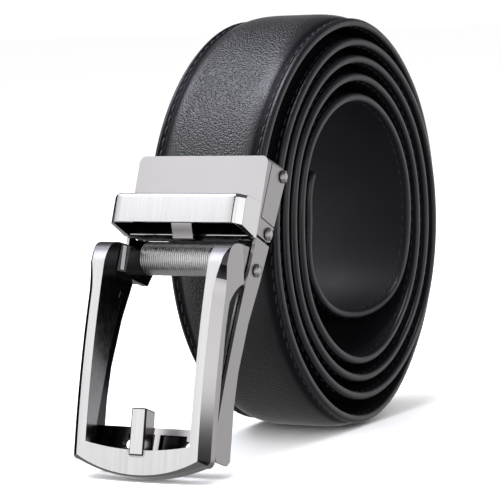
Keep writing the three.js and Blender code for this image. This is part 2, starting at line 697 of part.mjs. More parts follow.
const buckle = new THREE.Group();
buckle.position.copy(mouth);
buckle.rotation.x = -lean;
buckle.add(meshOf("strap_clamp", clamp(), STEEL));
buckle.add(meshOf("clamp_jaw", jaw(), STEEL));
buckle.add(meshOf("jaw_pin", headedPin(JAW_PIN), DARK_STEEL));
buckle.add(meshOf("hinge_pin", headedPin(HINGE_PIN), DARK_STEEL));
buckle.add(meshOf("cover_bar", coverBar(), BRUSHED));
buckle.add(meshOf("chassis", chassis(), STEEL));
buckle.add(meshOf("cam_pin", headedPin(CAM_PIN), DARK_STEEL));
buckle.add(meshOf("grip_roller", gripRoller(), BRUSHED));
buckle.add(meshOf("front_frame", frontFrame(), BRUSHED));
buckle.add(meshOf("prong", prongShape(0), BRUSHED));
belt.add(buckle);

export default belt;
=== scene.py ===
# A ratchet belt: padded black strap wound into a standing coil, with its metal buckle in front.
# The belt's lengths are millimetres until a mesh is made; the frame, the studio and Blender are in metres.
import math
import random

import bmesh
import bpy
import numpy as np
from mathutils import Matrix, Vector


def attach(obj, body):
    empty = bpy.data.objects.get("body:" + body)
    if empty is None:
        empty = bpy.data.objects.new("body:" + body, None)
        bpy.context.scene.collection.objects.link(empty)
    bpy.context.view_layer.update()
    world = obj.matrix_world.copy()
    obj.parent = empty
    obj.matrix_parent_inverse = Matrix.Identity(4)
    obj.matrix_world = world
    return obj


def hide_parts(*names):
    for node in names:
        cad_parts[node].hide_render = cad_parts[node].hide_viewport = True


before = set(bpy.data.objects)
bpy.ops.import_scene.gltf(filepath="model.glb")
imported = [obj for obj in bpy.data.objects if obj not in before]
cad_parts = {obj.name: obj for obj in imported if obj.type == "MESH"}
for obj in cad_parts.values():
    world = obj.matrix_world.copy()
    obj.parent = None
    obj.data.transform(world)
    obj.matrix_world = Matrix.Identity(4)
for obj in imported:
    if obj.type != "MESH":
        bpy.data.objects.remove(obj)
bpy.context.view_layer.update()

MM = 0.001
WELD_DISTANCE = 0.01

# Strap
STRAP_WIDTH = 35
EDGE_THICKNESS = 2.1
CROWN_RISE = 1.7
PRESSED_CROWN = 0.9
CLAMPED_LENGTH = 16.5
CROWN_FOOT = 14.4
CROWN_SHAPE = 5
# Share of an eighth turn in which the pressed crown rises to its full height
CROWN_RECOVERY = 0.75
STITCH_INSET = 2
STITCH_CHANNEL = 0.3
STITCH_CHANNEL_REACH = 0.45
HEM_PUFF = 0.28
EDGE_ROUND = 0.75
STATIONS_PER_EIGHTH = 18

# Coil
COIL_RADIUS = 60
COIL_SQUASH = 0.4
MOUTH_ANGLE = 22.8
COLUMNS = ("front", "frontTop", "top", "backTop", "back", "backLow", "low", "frontLow")
# Reach of the strap's outer face from the coil's axis, as shares of COIL_RADIUS
TURNS = (
    (0.967, 0.952, 0.95, 0.9, 0.877, 0.925, 0.975, 0.878),
    (0.8, 0.81, 0.858, 0.826, 0.805, 0.838, 0.865, 0.782),
    (0.715, 0.738, 0.777, 0.748, 0.722, 0.748, 0.778, 0.708),
    (0.64, 0.667, 0.692, 0.66, 0.628, 0.656, 0.693, 0.635),
    (0.567, 0.593, 0.597, 0.567, 0.53, 0.552, 0.477, 0.4),
    (0.31, 0.35),
)
# Sideways shift there, as shares of STRAP_WIDTH
SHIFTS = (
    (0, 0, 0, -0.04, -0.07, -0.07, -0.02, 0),
    (0,) * 8,
    (0,) * 8,
    (0,) * 8,
    (0, 0, 0, 0, 0, -0.04, -0.16, -0.18),
    (-0.18, -0.18),
)

# Stitching
STITCH_PITCH = 3.6
STITCH_LENGTH = 2.9
THREAD_RADIUS = 0.27
THREAD_LIFT = 0.12
STITCH_SLANT = 0.1
STITCH_SLANT_SPREAD = 0.04

# Buckle, with places on it as (down, out) from the clamp's mouth
BUCKLE_LEAN = 22
CAM_PIN = (31.9, -0.6)

# Grip roller, and the blocks at its ends
ROLLER_OFFSET = (-3, -0.7)
ROLLER_RADIUS = 4.6
ROLLER_WIDTH = 29
ROLLER_GROOVES = 44
ROLLER_GROOVE_DEPTH = 0.16
# One pitch across: (share of the pitch, share of the depth)
GROOVE_SHAPE = ((0, 0), (0.35, 0), (0.62, 1), (0.75, 1))
CAM_CHEEK_REACH = 14.5
CAM_CHEEK_RISE = 3.7
CAM_CHEEK_DROP = 4.5

# Chassis: inner faces of its side plates, past which faces take painted shade; its cross plate, with a
# painted highlight beside the prong above its shaded pockets; and the thin rails inside it
PLATE_INNER = 19.45
POCKET_FLOOR_OUT = 2.3
HIGHLIGHT_FROM = -1.2
INNER_RAIL_OUTER = 18.95
INNER_RAIL_WIDTH = 0.6
INNER_RAIL_DEPTH = 1.3
INNER_RAIL_TOP = 39.5
INNER_RAIL_END = 74

# Front frame
EAR_RADIUS = 4.4
EAR_OUTER = 19.2
# The ear widens to the frame's side between these places out, and between these down
FLARE_OUT = (4.6, 6)
FLARE_DOWN = (38.5, 43)
FRAME_SIDE = 21.3
FRAME_CHAMFER = 2.5
CHAMFER_GROWTH = 8.5
LUG_CHAMFER = 1.2
# Rings of a leg, counted from its ear, between which the chamfer takes a painted dark reflection
LUG_LEAF_START = 20
LUG_LEAF_END = 36
LUG_RINGS = 22
LEG_RINGS = 44
FRAME_OPENING = 32.4
FRAME_BAR_HEIGHT = 6.75
FRAME_SILL_BOW = 1.6
FRAME_FOOT_BOW = 4.1
FRAME_FOOT_INSET = 1.6
FRAME_SHOULDER = 34.4
FRAME_FACE_OUT = 17
FRAME_FACE_FALL = 6.9
FRAME_FACE_BEND = 0.28
FOOT_DROP = 90.9
FOOT_OUT = 5.85
FOOT_BAND = 0.4
CORNER_BAND = 1.2
FOOT_CORNER = 2.2

# Rear of the legs: a slight swell, a taper above the foot, then the foot's heel
LEG_REAR = 7.3
LEG_REAR_LOW = 7.8
LEG_REAR_START = 9.3
TAPER_HEIGHT = 14
HEEL_HEIGHT = 6
HEEL_OUT = 6.6

# Rear edge of the frame's side faces, and the rails behind them
BAND_OUT = 11.6
BAND_LEVEL = 18
BAND_LOW_OUT = 8
BAND_FADE = 4
RAIL_INSET = 2.3
RAIL_TOP = 41.5
RAIL_END = 75
RAIL_GAP = 0.2
RAIL_LAP = 0.4
RAIL_TIP = 0.5
RAIL_TIP_LENGTH = 6

# Seat round the prong's foot
PRONG_WIDTH = 4.6
PRONG_FOOT = 85.61
PRONG_GAP = 0.4
PRONG_SEAT_ROUND = 1.3
PRONG_SEAT_PROUD = 0.04

# Cover bar
BAR_TOP = 14.1
BAR_FACE_HEIGHT = 8.4
BAR_FACE_WIDTH = 36.6
BAR_WIDTH = 41.2
BAR_BACK = 2.4
BAR_FACE_OUT = 12.7
BAR_WALL = 1.1
BAR_BACK_DROP = 2.6
BAR_NOTCH = 0.6
BAR_CORNER = 1.4
BAR_RIB = 0.35
BAR_RIB_DROP = 0.9
TAB_WIDTH = 6.4
TAB_THICKNESS = 1
TAB_OUT = 5.6
TAB_BEND = 2.2

# Camera, fitted to the photograph: angles in degrees, lens in millimetres
CAMERA_AZIMUTH = 30.866
CAMERA_ELEVATION = 5.622
CAMERA_ROLL = -2.49
CAMERA_PLACE = (378.86, -667.06, 126.88)
LENS = 191.67
SENSOR_WIDTH = 36

# Studio
BELT_MIDDLE = Vector((0, -0.03, 0.06))
FLOOR_REACH = 6
COOL_WHITE = "#f2f3ff"


def rgb(text):
    """A hex sRGB colour as the linear colour that the nodes take."""
    values = [int(text[i : i + 2], 16) / 255 for i in (1, 3, 5)]
    return [v / 12.92 if v <= 0.04045 else ((v + 0.055) / 1.055) ** 2.4 for v in values] + [1]


# Route of the strap


def catmull(t, p0, p1, p2, p3):
    """A point on the smooth curve through four knots, between the middle two."""
    v0 = (p2 - p0) / 2
    v1 = (p3 - p1) / 2
    return (2 * p1 - 2 * p2 + v0 + v1) * t**3 + (3 * p2 - 3 * p1 - 2 * v0 - v1) * t**2 + v0 * t + p1


KNOTS = np.array(
    [
        (reach * COIL_RADIUS, shift * STRAP_WIDTH)
        for turn, shifts in zip(TURNS, SHIFTS)
        for reach, shift in zip(turn, shifts)
    ]
)
EIGHTHS = len(KNOTS) - 1
COIL_AXIS = COIL_RADIUS * TURNS[0][COLUMNS.index("low")] + CROWN_RISE - COIL_SQUASH


def coil_point(eighth):
    """A point on the outer face of the strap's edges, midway across it."""
    i = min(int(eighth), EIGHTHS - 1)
    around = [KNOTS[min(max(k, 0), EIGHTHS)] for k in (i - 1, i, i + 1, i + 2)]
    reach, shift = catmull(eighth - i, *around)
    angle = eighth * math.pi / 4
    return Vector((shift, -reach * math.cos(angle), COIL_AXIS + reach * math.sin(angle)))


MOUTH = coil_point(MOUTH_ANGLE / 45)
LEAN = math.radians(BUCKLE_LEAN)
DOWN = Vector((0, -math.sin(LEAN), -math.cos(LEAN)))
OUT = Vector((0, -math.cos(LEAN), math.sin(LEAN)))
ACROSS = Vector((1, 0, 0))


def buckle_place(x, down, out):
    """A point in millimetres from its place across, down and out from the clamp's mouth."""
    return MOUTH + ACROSS * x + DOWN * down + OUT * out


def strap_stations():
    """Centre, outward normal, crown height and length so far, from the clamp's end to the free end."""
    places = []
    for share in (1, 0.8, 0.6, 0.4, 0.2, 0):
        places.append((MOUTH + DOWN * CLAMPED_LENGTH * share, OUT, PRESSED_CROWN))
    start = MOUTH_ANGLE / 45
    count = round((EIGHTHS - start) * STATIONS_PER_EIGHTH)
    step = 0.02
    for i in range(1, count + 1):
        eighth = start + (EIGHTHS - start) * i / count
        before = coil_point(max(eighth - step, 0))
        after = coil_point(min(eighth + step, EIGHTHS))
        tangent = after - before
        normal = Vector((0, -tangent.z, tangent.y)).normalized()
        risen = min((eighth - start) / CROWN_RECOVERY, 1)
        crown = PRESSED_CROWN + (CROWN_RISE - PRESSED_CROWN) * risen
        places.append((coil_point(eighth), normal, crown))
    length = 0
    stations = []
    for i, (centre, normal, crown) in enumerate(places):
        if i:
            length += (centre - places[i - 1][0]).length
        stations.append((centre, normal, crown, length))
    return stations


def face_height(x, crown):
    """Height of the outer face over the strap's edge: crown, stitch channel and puffed hem."""
    reach = abs(x)
    edge = STRAP_WIDTH / 2
    stitch = edge - STITCH_INSET
    height = 0
    if reach < CROWN_FOOT:
        height += crown * (1 - (reach / CROWN_FOOT) ** CROWN_SHAPE)
    if reach > stitch:
        height += HEM_PUFF * math.sin(math.pi * min((reach - stitch) / (STITCH_INSET - EDGE_ROUND * 0.3), 1))
    height -= STITCH_CHANNEL * math.exp(-(((reach - stitch) / STITCH_CHANNEL_REACH) ** 2))
    return height


FACE, EDGE, LINING = 0, 1, 2


def strap_section(crown):
    """Points round the section, each with the finish of the stretch that starts there."""
    edge = STRAP_WIDTH / 2
    inner = edge - EDGE_ROUND
    half = EDGE_THICKNESS / 2
    fine_steps, fine_step = 14, 0.3
    coarse_steps, coarse_step = 11, 1.2
    beside_stitches = [inner - i * fine_step for i in range(fine_steps)]
    on_crown = [inner - fine_steps * fine_step - i * coarse_step for i in range(coarse_steps)]
    right = beside_stitches + on_crown
    across = right + [0] + [-x for x in reversed(right)]
    points = [(x, face_height(x, crown), FACE) for x in across]
    turns = [math.pi / 2 - math.pi * i / 8 for i in range(1, 8)]
    points[-1] = (points[-1][0], points[-1][1], EDGE)

    def rounded(angle):
        """A point of the rolled edge, a little squarer than an ellipse."""
        power = 0.75
        c, s = math.cos(angle), math.sin(angle)
        return EDGE_ROUND * abs(c) ** power, half * math.copysign(abs(s) ** power, s) - half

    for angle in turns:
        x, y = rounded(angle)
        points.append((-inner - x, y, EDGE))
    lining_steps = 16
    lining = [-inner + i * (2 * inner) / lining_steps for i in range(lining_steps + 1)]
    points += [(x, -EDGE_THICKNESS, LINING) for x in lining]
    points[-1] = (points[-1][0], points[-1][1], EDGE)
    for angle in reversed(turns):
        x, y = rounded(angle)
        points.append((inner + x, y, EDGE))
    return points


def new_object(name, vertices, faces, materials, finishes=None, smooth=True):
    """A mesh object from points in millimetres."""
    mesh = bpy.data.meshes.new(name)
    mesh.from_pydata([tuple(c * MM for c in v) for v in vertices], [], faces)
    for material in materials:
        mesh.materials.append(material)
    if finishes is not None:
        mesh.polygons.foreach_set("material_index", finishes)
    mesh.polygons.foreach_set("use_smooth", [smooth] * len(faces))
    mesh.update()
    obj = bpy.data.objects.new(name, mesh)
    bpy.context.scene.collection.objects.link(obj)
    return obj


def make_strap(materials):
    """The padded strap: its section swept along the coil, flattened where it rests on the floor."""
    vertices, faces, finishes = [], [], []
    stations = strap_stations()
    for centre, normal, crown, _ in stations:
        for x, y, _ in strap_section(crown):
            point = centre + normal * y + ACROSS * x
            point.z = max(point.z, 0)
            vertices.append(point)
    section = strap_section(CROWN_RISE)
    count = len(section)
    for i in range(len(stations) - 1):
        for j in range(count):
            k = (j + 1) % count
            a, b = i * count + j, i * count + k
            faces.append((a, a + count, b + count, b))
            finishes.append(section[j][2])
    last = (len(stations) - 1) * count
    faces.append(tuple(range(count)))
    faces.append(tuple(last + j for j in reversed(range(count))))
    finishes += [EDGE, EDGE]
    strap = new_object("strap_leather", vertices, faces, materials, finishes)
    across = strap.data.attributes.new("across", "FLOAT", "POINT")
    shares = [abs(x) * 2 / STRAP_WIDTH for x, _, _ in section]
    across.data.foreach_set("value", shares * len(stations))
    return strap


def along_strap(stations, length):
    """Centre, normal, crown and direction of the strap at a length from its clamped end."""
    low, high = 0, len(stations) - 1
    while high - low > 1:
        middle = (low + high) // 2
        if stations[middle][3] > length:
            high = middle
        else:
            low = middle
    a, b = stations[low], stations[high]
    share = (length - a[3]) / (b[3] - a[3])
    centre = a[0].lerp(b[0], share)
    normal = a[1].lerp(b[1], share).normalized()
    return centre, normal, a[2] + (b[2] - a[2]) * share, (b[0] - a[0]).normalized()


def make_stitching(materials):
    """Thread showing along both edges, on the face and on the lining."""
    stations = strap_stations()
    whole = stations[-1][3]
    # Along one stitch: (share of its length, share of the thread's radius, lift)
    half = ((0.5, 0.35, -0.2), (0.36, 0.85, 0.02))
    profile = [(-share, thick, lift) for share, thick, lift in half] + [(0, 1, 0.1)] + list(reversed(half))
    sides = 6
    vertices, faces, finishes = [], [], []
    random.seed(4)
    first = CLAMPED_LENGTH + 0.5
    for side in (-1, 1):
        x = side * (STRAP_WIDTH / 2 - STITCH_INSET)
        for outward in (1, -1):
            length = first
            while length < whole - STITCH_PITCH:
                centre, normal, crown, ahead = along_strap(stations, length)
                surface = face_height(x, crown) if outward == 1 else -EDGE_THICKNESS
                height = surface + THREAD_LIFT
                slant = STITCH_SLANT + random.uniform(-STITCH_SLANT_SPREAD, STITCH_SLANT_SPREAD)
                base = len(vertices)
                for share, thick, lift in profile:
                    middle = centre + ACROSS * (x + slant * STITCH_LENGTH * share)
                    middle = middle + normal * (height + outward * lift) + ahead * STITCH_LENGTH * share
                    for k in range(sides):
                        angle = 2 * math.pi * k / sides
                        offset = ACROSS * math.cos(angle) + normal * math.sin(angle)
                        vertices.append(middle + offset * THREAD_RADIUS * thick)
                for i in range(len(profile) - 1):
                    for k in range(sides):
                        m = (k + 1) % sides
                        a, b = base + i * sides + k, base + i * sides + m
                        faces.append((a, b, b + sides, a + sides))
                end = base + (len(profile) - 1) * sides
                faces.append(tuple(base + k for k in reversed(range(sides))))
                faces.append(tuple(end + k for k in range(sides)))
                finishes += [0 if outward == 1 else 1] * (len(faces) - len(finishes))
                length += STITCH_PITCH
    return new_object("stitching", vertices, faces, materials, finishes)


def make_roller(material):
    """Grooved cam roller: V grooves all round, fading out on a smooth band along its underside."""
    pitch = ROLLER_WIDTH / ROLLER_GROOVES
    places = [
        (-ROLLER_WIDTH / 2 + pitch * (i + share), deep)
        for i in range(ROLLER_GROOVES)
        for share, deep in GROOVE_SHAPE
    ]
    places.append((ROLLER_WIDTH / 2, 0))
    sides = 72
    band_angle, band_reach, band_edge = 0.35, 0.5, 6
    down, out = CAM_PIN[0] + ROLLER_OFFSET[0], CAM_PIN[1] + ROLLER_OFFSET[1]
    vertices, faces = [], []
    for x, deep in places:
        for k in range(sides):
            angle = 2 * math.pi * k / sides
            from_band = (angle - band_angle + math.pi) % (2 * math.pi) - math.pi
            smooth = math.exp(-((from_band / band_reach) ** band_edge))
            radius = ROLLER_RADIUS - ROLLER_GROOVE_DEPTH * deep * (1 - smooth)
            vertices.append(buckle_place(x, down + radius * math.cos(angle), out + radius * math.sin(angle)))
    for i in range(len(places) - 1):
        for k in range(sides):
            m = (k + 1) % sides
            a, b = i * sides + k, i * sides + m
            faces.append((a, b, b + sides, a + sides))
    end = (len(places) - 1) * sides
    faces.append(tuple(reversed(range(sides))))
    faces.append(tuple(end + k for k in range(sides)))
    return new_object("grip_roller_grooved", vertices, faces, [material])


def smooth_step(value, low, high):
    """Eases from 0 at low to 1 at high."""
    share = min(max((value - low) / (high - low), 0), 1)
    return share * share * (3 - 2 * share)


def between(a, b, share):
    """A place on the straight line from a to b."""
    return tuple(p + (q - p) * share for p, q in zip(a, b))


def quadratic(a, control, b, share):
    """A place on the curve from a to b that leans towards the control point."""
    return tuple(
        (1 - share) ** 2 * p + 2 * share * (1 - share) * q + share**2 * r for p, q, r in zip(a, control, b)
    )


# Finishes of the frame and the cover bar, in the order of their materials: the dark finish is painted shade
# on faces inside the buckle, and the last one is painted shade in the rolled edges
BRUSHED, DARK, SATIN, EDGE_SHADE = 0, 1, 2, 3


def skin(name, rings, strips, materials, closed_ends=True, end_finish=0, patches=()):
    """A body through rings of (x, down, out) points; strips give the finish of each side of the ring.

    Each patch is (first ring, last ring, side of the ring, finish) and holds a finish of its own.
    """
    count = len(rings[0])
    vertices = [buckle_place(*point) for ring in rings for point in ring]
    faces, finishes = [], []
    for i in range(len(rings) - 1):
        for j in range(count):
            k = (j + 1) % count
            faces.append((i * count + j, i * count + k, (i + 1) * count + k, (i + 1) * count + j))
            finish = strips[j]
            for first, last, side, own in patches:
                if first <= i < last and side == j:
                    finish = own
            finishes.append(finish)
    if closed_ends:
        last = (len(rings) - 1) * count
        faces.append(tuple(reversed(range(count))))
        faces.append(tuple(last + j for j in range(count)))
        finishes += [end_finish, end_finish]
    obj = new_object(name, vertices, faces, materials, finishes)
    closed = bmesh.new()
    closed.from_mesh(obj.data)
    bmesh.ops.remove_doubles(closed, verts=closed.verts, dist=WELD_DISTANCE * MM)
    bmesh.ops.recalc_face_normals(closed, faces=closed.faces)
    closed.to_mesh(obj.data)
    closed.free()
    return obj


def roll_edges(obj, width, angle=28, segments=3, finish=-1):
    """Rounds a metal piece's edges, in a finish of their own where one is given."""
    rolled = obj.modifiers.new("rolled_edges", "BEVEL")
    rolled.width = width * MM
    rolled.segments = segments
    rolled.limit_method = "ANGLE"
    rolled.angle_limit = math.radians(angle)
    rolled.harden_normals = True
    rolled.material = finish
    return obj


def join_into(first, others):
    """Adds other pieces' meshes to the first, so that they are one piece."""
    whole = bmesh.new()
    whole.from_mesh(first.data)
    for other in others:
        whole.from_mesh(other.data)
        bpy.data.objects.remove(other)
    whole.to_mesh(first.data)
    whole.free()
    return first


def square_ring(inner, outer, down, front, back):
    """Four corners round a rail or a tab."""
    return [(inner, down, front), (outer, down, front), (outer, down, back), (inner, down, back)]


def frame_face(down):
    """How far out the frame's front face is at a distance down the buckle."""
    share = (down - FRAME_SHOULDER) / (FOOT_DROP - FRAME_SHOULDER)
    fall = FRAME_FACE_FALL * (FRAME_FACE_BEND * share * (1 - share) + share**2)
    return FRAME_FACE_OUT - fall


def frame_foot(x):
    """Lower outline of the frame's bowed foot."""
    half = FRAME_SIDE - FRAME_FOOT_INSET
    return FOOT_DROP - FRAME_FOOT_BOW * (x / half) ** 2


def frame_sill(x):
    """Upper outline of the bottom bar, bowed the same way."""
    return FOOT_DROP - FRAME_BAR_HEIGHT - FRAME_SILL_BOW * (x / (FRAME_OPENING / 2)) ** 2


def frame_rear(down):
    """Rear outline of the frame's legs and foot."""
    height = FOOT_DROP - down
    if height < HEEL_HEIGHT:
        return FOOT_OUT + (HEEL_OUT - FOOT_OUT) * height / HEEL_HEIGHT
    if height < TAPER_HEIGHT:
        share = (TAPER_HEIGHT - height) / (TAPER_HEIGHT - HEEL_HEIGHT)
        return LEG_REAR_LOW + (HEEL_OUT - LEG_REAR_LOW) * share
    share = smooth_step(down, CAM_PIN[0] + LEG_REAR_START, FOOT_DROP - TAPER_HEIGHT)
    return LEG_REAR + (LEG_REAR_LOW - LEG_REAR) * share


def frame_band(down):
    """Rear edge of the side faces, behind which the frame's rail shows."""
    start = CAM_PIN[0] + BAND_LEVEL
    low = FOOT_DROP - TAPER_HEIGHT
    if down < start:
        return BAND_OUT
    if down < low:
        return BAND_OUT + (BAND_LOW_OUT - BAND_OUT) * (down - start) / (low - start)
    ahead = BAND_LOW_OUT - LEG_REAR_LOW
    return frame_rear(down) + ahead * (1 - smooth_step(down, low, low + BAND_FADE))


def frame_section(inner, outer, cut, inner_rear, outer_rear):
    """Ring of the frame's body: inner front, outer front, chamfer's foot, outer rear, inner rear."""
    x, down = outer
    cut_x, cut_down, cut_out = cut
    edge = down - cut_down
    face_outer = (x - math.copysign(cut_x, x), edge, frame_face(edge))
    chamfer_foot = (x, down, frame_face(down) - cut_out)
    return [inner, face_outer, chamfer_foot, outer_rear, inner_rear]


def frame_leg_rings(side):
    """From the ear's back, over the lug and down the leg to the bottom bar."""
    inner = side * FRAME_OPENING / 2
    rings = []

    def flank(down, out):
        """Where the outer side stands, wider below and in front of the ear."""
        flare = max(smooth_step(out, *FLARE_OUT), smooth_step(down, *FLARE_DOWN))
        return side * (EAR_OUTER + (FRAME_SIDE - EAR_OUTER) * flare)

    def spoke(front, rear, flank_rear=None, chamfer=0):
        """Adds a ring that spans from the leg's front outline to its rear one."""
        outer = flank_rear or rear
        xf, xr = flank(*front), flank(*outer)
        foot = (xf, front[0], front[1] - chamfer)
        rings.append([(inner, *front), (xf - side * chamfer, *front), foot, (xr, *outer), (inner, *rear)])

    ear_steps = 6
    for i in range(1, ear_steps + 1):
        angle = math.pi / 2 * i / ear_steps
        across, along = EAR_RADIUS * math.sin(angle), EAR_RADIUS * math.cos(angle)
        spoke((CAM_PIN[0] - across, CAM_PIN[1] - along), (CAM_PIN[0] + across, CAM_PIN[1] - along))
    top = CAM_PIN[0] - EAR_RADIUS
    bottom = CAM_PIN[0] + EAR_RADIUS
    lug_top = (top - 0.2, 4.8)
    lug_nose = (top + 0.3, 10.6)
    lug_front = (FRAME_SHOULDER + 0.3, frame_face(FRAME_SHOULDER + 0.3))
    heel = (bottom - 0.1, 3)
    waist = (CAM_PIN[0] + 10.5, LEG_REAR)
    band_start = (CAM_PIN[0] + 12, BAND_OUT)
    for share in (0.35, 0.7, 1):
        spoke(between((top, CAM_PIN[1]), lug_top, share), between((bottom, CAM_PIN[1]), heel, share))
    nose_share = 0.3
    for i in range(1, LUG_RINGS + 1):
        share = i / LUG_RINGS
        if share < nose_share:
            front = quadratic(lug_top, (top, 7.8), lug_nose, share / nose_share)
        else:
            past_nose = (share - nose_share) / (1 - nose_share)
            front = quadratic(lug_nose, (top + 0.75, 16.2), lug_front, past_nose)
        rear = quadratic(heel, (bottom + 1.2, 7.2), waist, share)
        flank_rear = quadratic(heel, (bottom + 1.4, 9.2), band_start, share)
        spoke(front, rear, flank_rear, LUG_CHAMFER * smooth_step(share, 0.55, 1))
    start = lug_front[0]
    end = frame_sill(inner)
    for i in range(1, LEG_RINGS + 1):
        # The rings stand closer together near the lug, where the chamfer grows
        share = (i / LEG_RINGS) ** 1.25
        down = start + (end - start) * share
        rear_down = waist[0] + (end - waist[0]) * share
        band_down = band_start[0] + (end - band_start[0]) * share
        grown = min((down - start) / CHAMFER_GROWTH, 1)
        chamfer = LUG_CHAMFER + (FRAME_CHAMFER - LUG_CHAMFER) * (1 - (1 - grown) ** 1.7)
        rear = frame_rear(rear_down)
        rings.append(
            frame_section(
                (inner, down, frame_face(down)), (side * FRAME_SIDE, down), (chamfer, 0, chamfer),
                (inner, rear_down, rear), (side * FRAME_SIDE, band_down, frame_band(band_down)),
            )
        )
    return rings


def make_frame(materials):
    """The frame: ears, lugs, chamfered legs, and the bowed bottom bar with its rolled lower edge."""
    left = frame_leg_rings(-1)
    right = frame_leg_rings(1)
    half = FRAME_OPENING / 2
    corner = frame_sill(half)

    def corner_rings(side):
        """Round a lower corner, the leg's chamfer narrowing to the foot's rolled edge."""
        rings = []
        inner = (side * half, corner, frame_face(corner))
        bottom = frame_foot(FRAME_SIDE - FOOT_CORNER)
        steps = 14
        straight = 0.4
        for i in range(1, steps + 1):
            share = i / steps
            if share < straight:
                x = FRAME_SIDE
                down = corner + (bottom - FOOT_CORNER - corner) * share / straight
            else:
                x, down = quadratic(
                    (FRAME_SIDE, bottom - FOOT_CORNER),
                    (FRAME_SIDE, bottom),
                    (FRAME_SIDE - FOOT_CORNER, bottom),
                    (share - straight) / (1 - straight),
                )
            turned = smooth_step(share, straight, 1)
            cut_x = x - FRAME_SIDE + FRAME_CHAMFER
            cut_out = FRAME_CHAMFER + (FOOT_BAND + CORNER_BAND - FRAME_CHAMFER) * turned
            cut_down = (FOOT_BAND + CORNER_BAND / 2) * turned
            rings.append(
                frame_section(
                    inner, (side * x, down), (cut_x, cut_down, cut_out),
                    (side * half, corner, frame_rear(corner)),
                    (side * x, down, frame_band(down)),
                )
            )
        return rings

    bar = []
    half_steps = 20
    for i in range(2 * half_steps + 1):
        x = half * (1 - i / half_steps)
        reach = x * (FRAME_SIDE - FOOT_CORNER) / half
        sill, foot = frame_sill(x), frame_foot(reach)
        wide = abs(x / half) ** 3
        cut = (
            (FRAME_CHAMFER - FOOT_CORNER) * wide,
            FOOT_BAND + CORNER_BAND / 2 * wide,
            FOOT_BAND + CORNER_BAND * wide,
        )
        bar.append(
            frame_section(
                (x, sill, frame_face(sill)), (reach, foot), cut,
                (x, sill, frame_rear(sill)), (reach, foot, frame_rear(foot)),
            )
        )
    rings = right + corner_rings(1) + bar[1:-1] + corner_rings(-1)[::-1] + left[::-1]
    # The chamfer's start on each lug takes a painted dark reflection, in the shape of a leaf
    first, last, end = LUG_LEAF_START, LUG_LEAF_END, len(rings) - 1
    chamfer = 1
    leaves = ((first, last, chamfer, DARK), (end - last, end - first, chamfer, DARK))
    # The rear faces and the faces that look into the opening take painted shade
    finishes = (BRUSHED, BRUSHED, BRUSHED, DARK, DARK)
    body = skin("front_frame_body", rings, finishes, materials, patches=leaves)
    rails = [make_frame_rail(side, materials) for side in (-1, 1)]
    cheeks = [make_cam_cheek(side, materials) for side in (-1, 1)]
    return join_into(body, rails + cheeks + [make_prong_seat(materials)])


def make_frame_rail(side, materials):
    """The rail behind a leg, set in from its side face and thin at its upper tip; painted shade on all its
    faces but the rear one.
    """
    inner, outer = side * (FRAME_OPENING / 2 + RAIL_GAP), side * (FRAME_SIDE - RAIL_INSET)
    rings = []
    steps = 12
    for i in range(steps + 1):
        down = RAIL_TOP + (RAIL_END - RAIL_TOP) * i / steps
        full = smooth_step(down, RAIL_TOP, RAIL_TOP + RAIL_TIP_LENGTH)
        front = frame_band(down) + RAIL_LAP
        rear = frame_rear(down)
        back = rear + (1 - full) * (front - rear - RAIL_TIP)
        rings.append(square_ring(inner, outer, down, front, back))
    return skin("rail", rings, (DARK, DARK, BRUSHED, DARK), materials)


def make_prong_seat(materials):
    """Painted shade: a dark inlay for the gap round the prong's foot where it is let into the bottom bar."""
    half, low, round_by = PRONG_WIDTH / 2 + PRONG_GAP, PRONG_FOOT + PRONG_GAP, PRONG_SEAT_ROUND
    over_sill = 0.05
    outline = [(half, frame_sill(half) - over_sill), (half, low - round_by)]
    steps = 6
    for i in range(1, steps + 1):
        angle = math.pi / 2 * i / steps
        outline.append((half - round_by * (1 - math.cos(angle)), low - round_by * (1 - math.sin(angle))))
    outline += [(-x, down) for x, down in reversed(outline)]
    depth = 1
    levels = (-depth, PRONG_SEAT_PROUD)
    rings = [[(x, down, frame_face(down) + level) for x, down in outline] for level in levels]
    return skin("prong_seat", rings, (DARK,) * len(outline), materials, end_finish=DARK)


def make_cam_cheek(side, materials):
    """The block between an ear and the roller's end: a narrow satin strip down its slanted front, all else
    in painted shade.
    """
    top, bottom = CAM_PIN[0] - CAM_CHEEK_RISE, CAM_PIN[0] + CAM_CHEEK_DROP
    rings = []
    for x, front in ((CAM_CHEEK_REACH, 8.7), (FRAME_OPENING / 2 + RAIL_GAP, 10.6)):
        outline = (
            (top, front - 0.3), (bottom - 0.9, front), (bottom, 5.4), (bottom + 0.1, 3.5),
            (bottom - 0.1, -3), (CAM_PIN[0], -5), (top, -3),
        )
        rings.append([(side * x, down, out) for down, out in outline])
    cheek = skin("cam_cheek", rings, (DARK,) * len(outline), materials, end_finish=DARK)
    # A narrow bright strip down the slanted front
    strip = []
    slant = 1.02
    for down, start, end, level in ((top + 0.2, 15.05, 15.75, 8.75), (bottom - 1.3, 14.75, 15.45, 9.05)):
        front = level + slant * (start - CAM_CHEEK_REACH)
        strip.append(
            [
                (side * start, down, front), (side * end, down, front + 0.7),
                (side * end, down, front - 0.5), (side * start, down, front - 0.5),
            ]
        )
    bright = skin("cheek_strip", strip, (SATIN, DARK, DARK, DARK), materials, end_finish=DARK)
    return join_into(cheek, [bright])


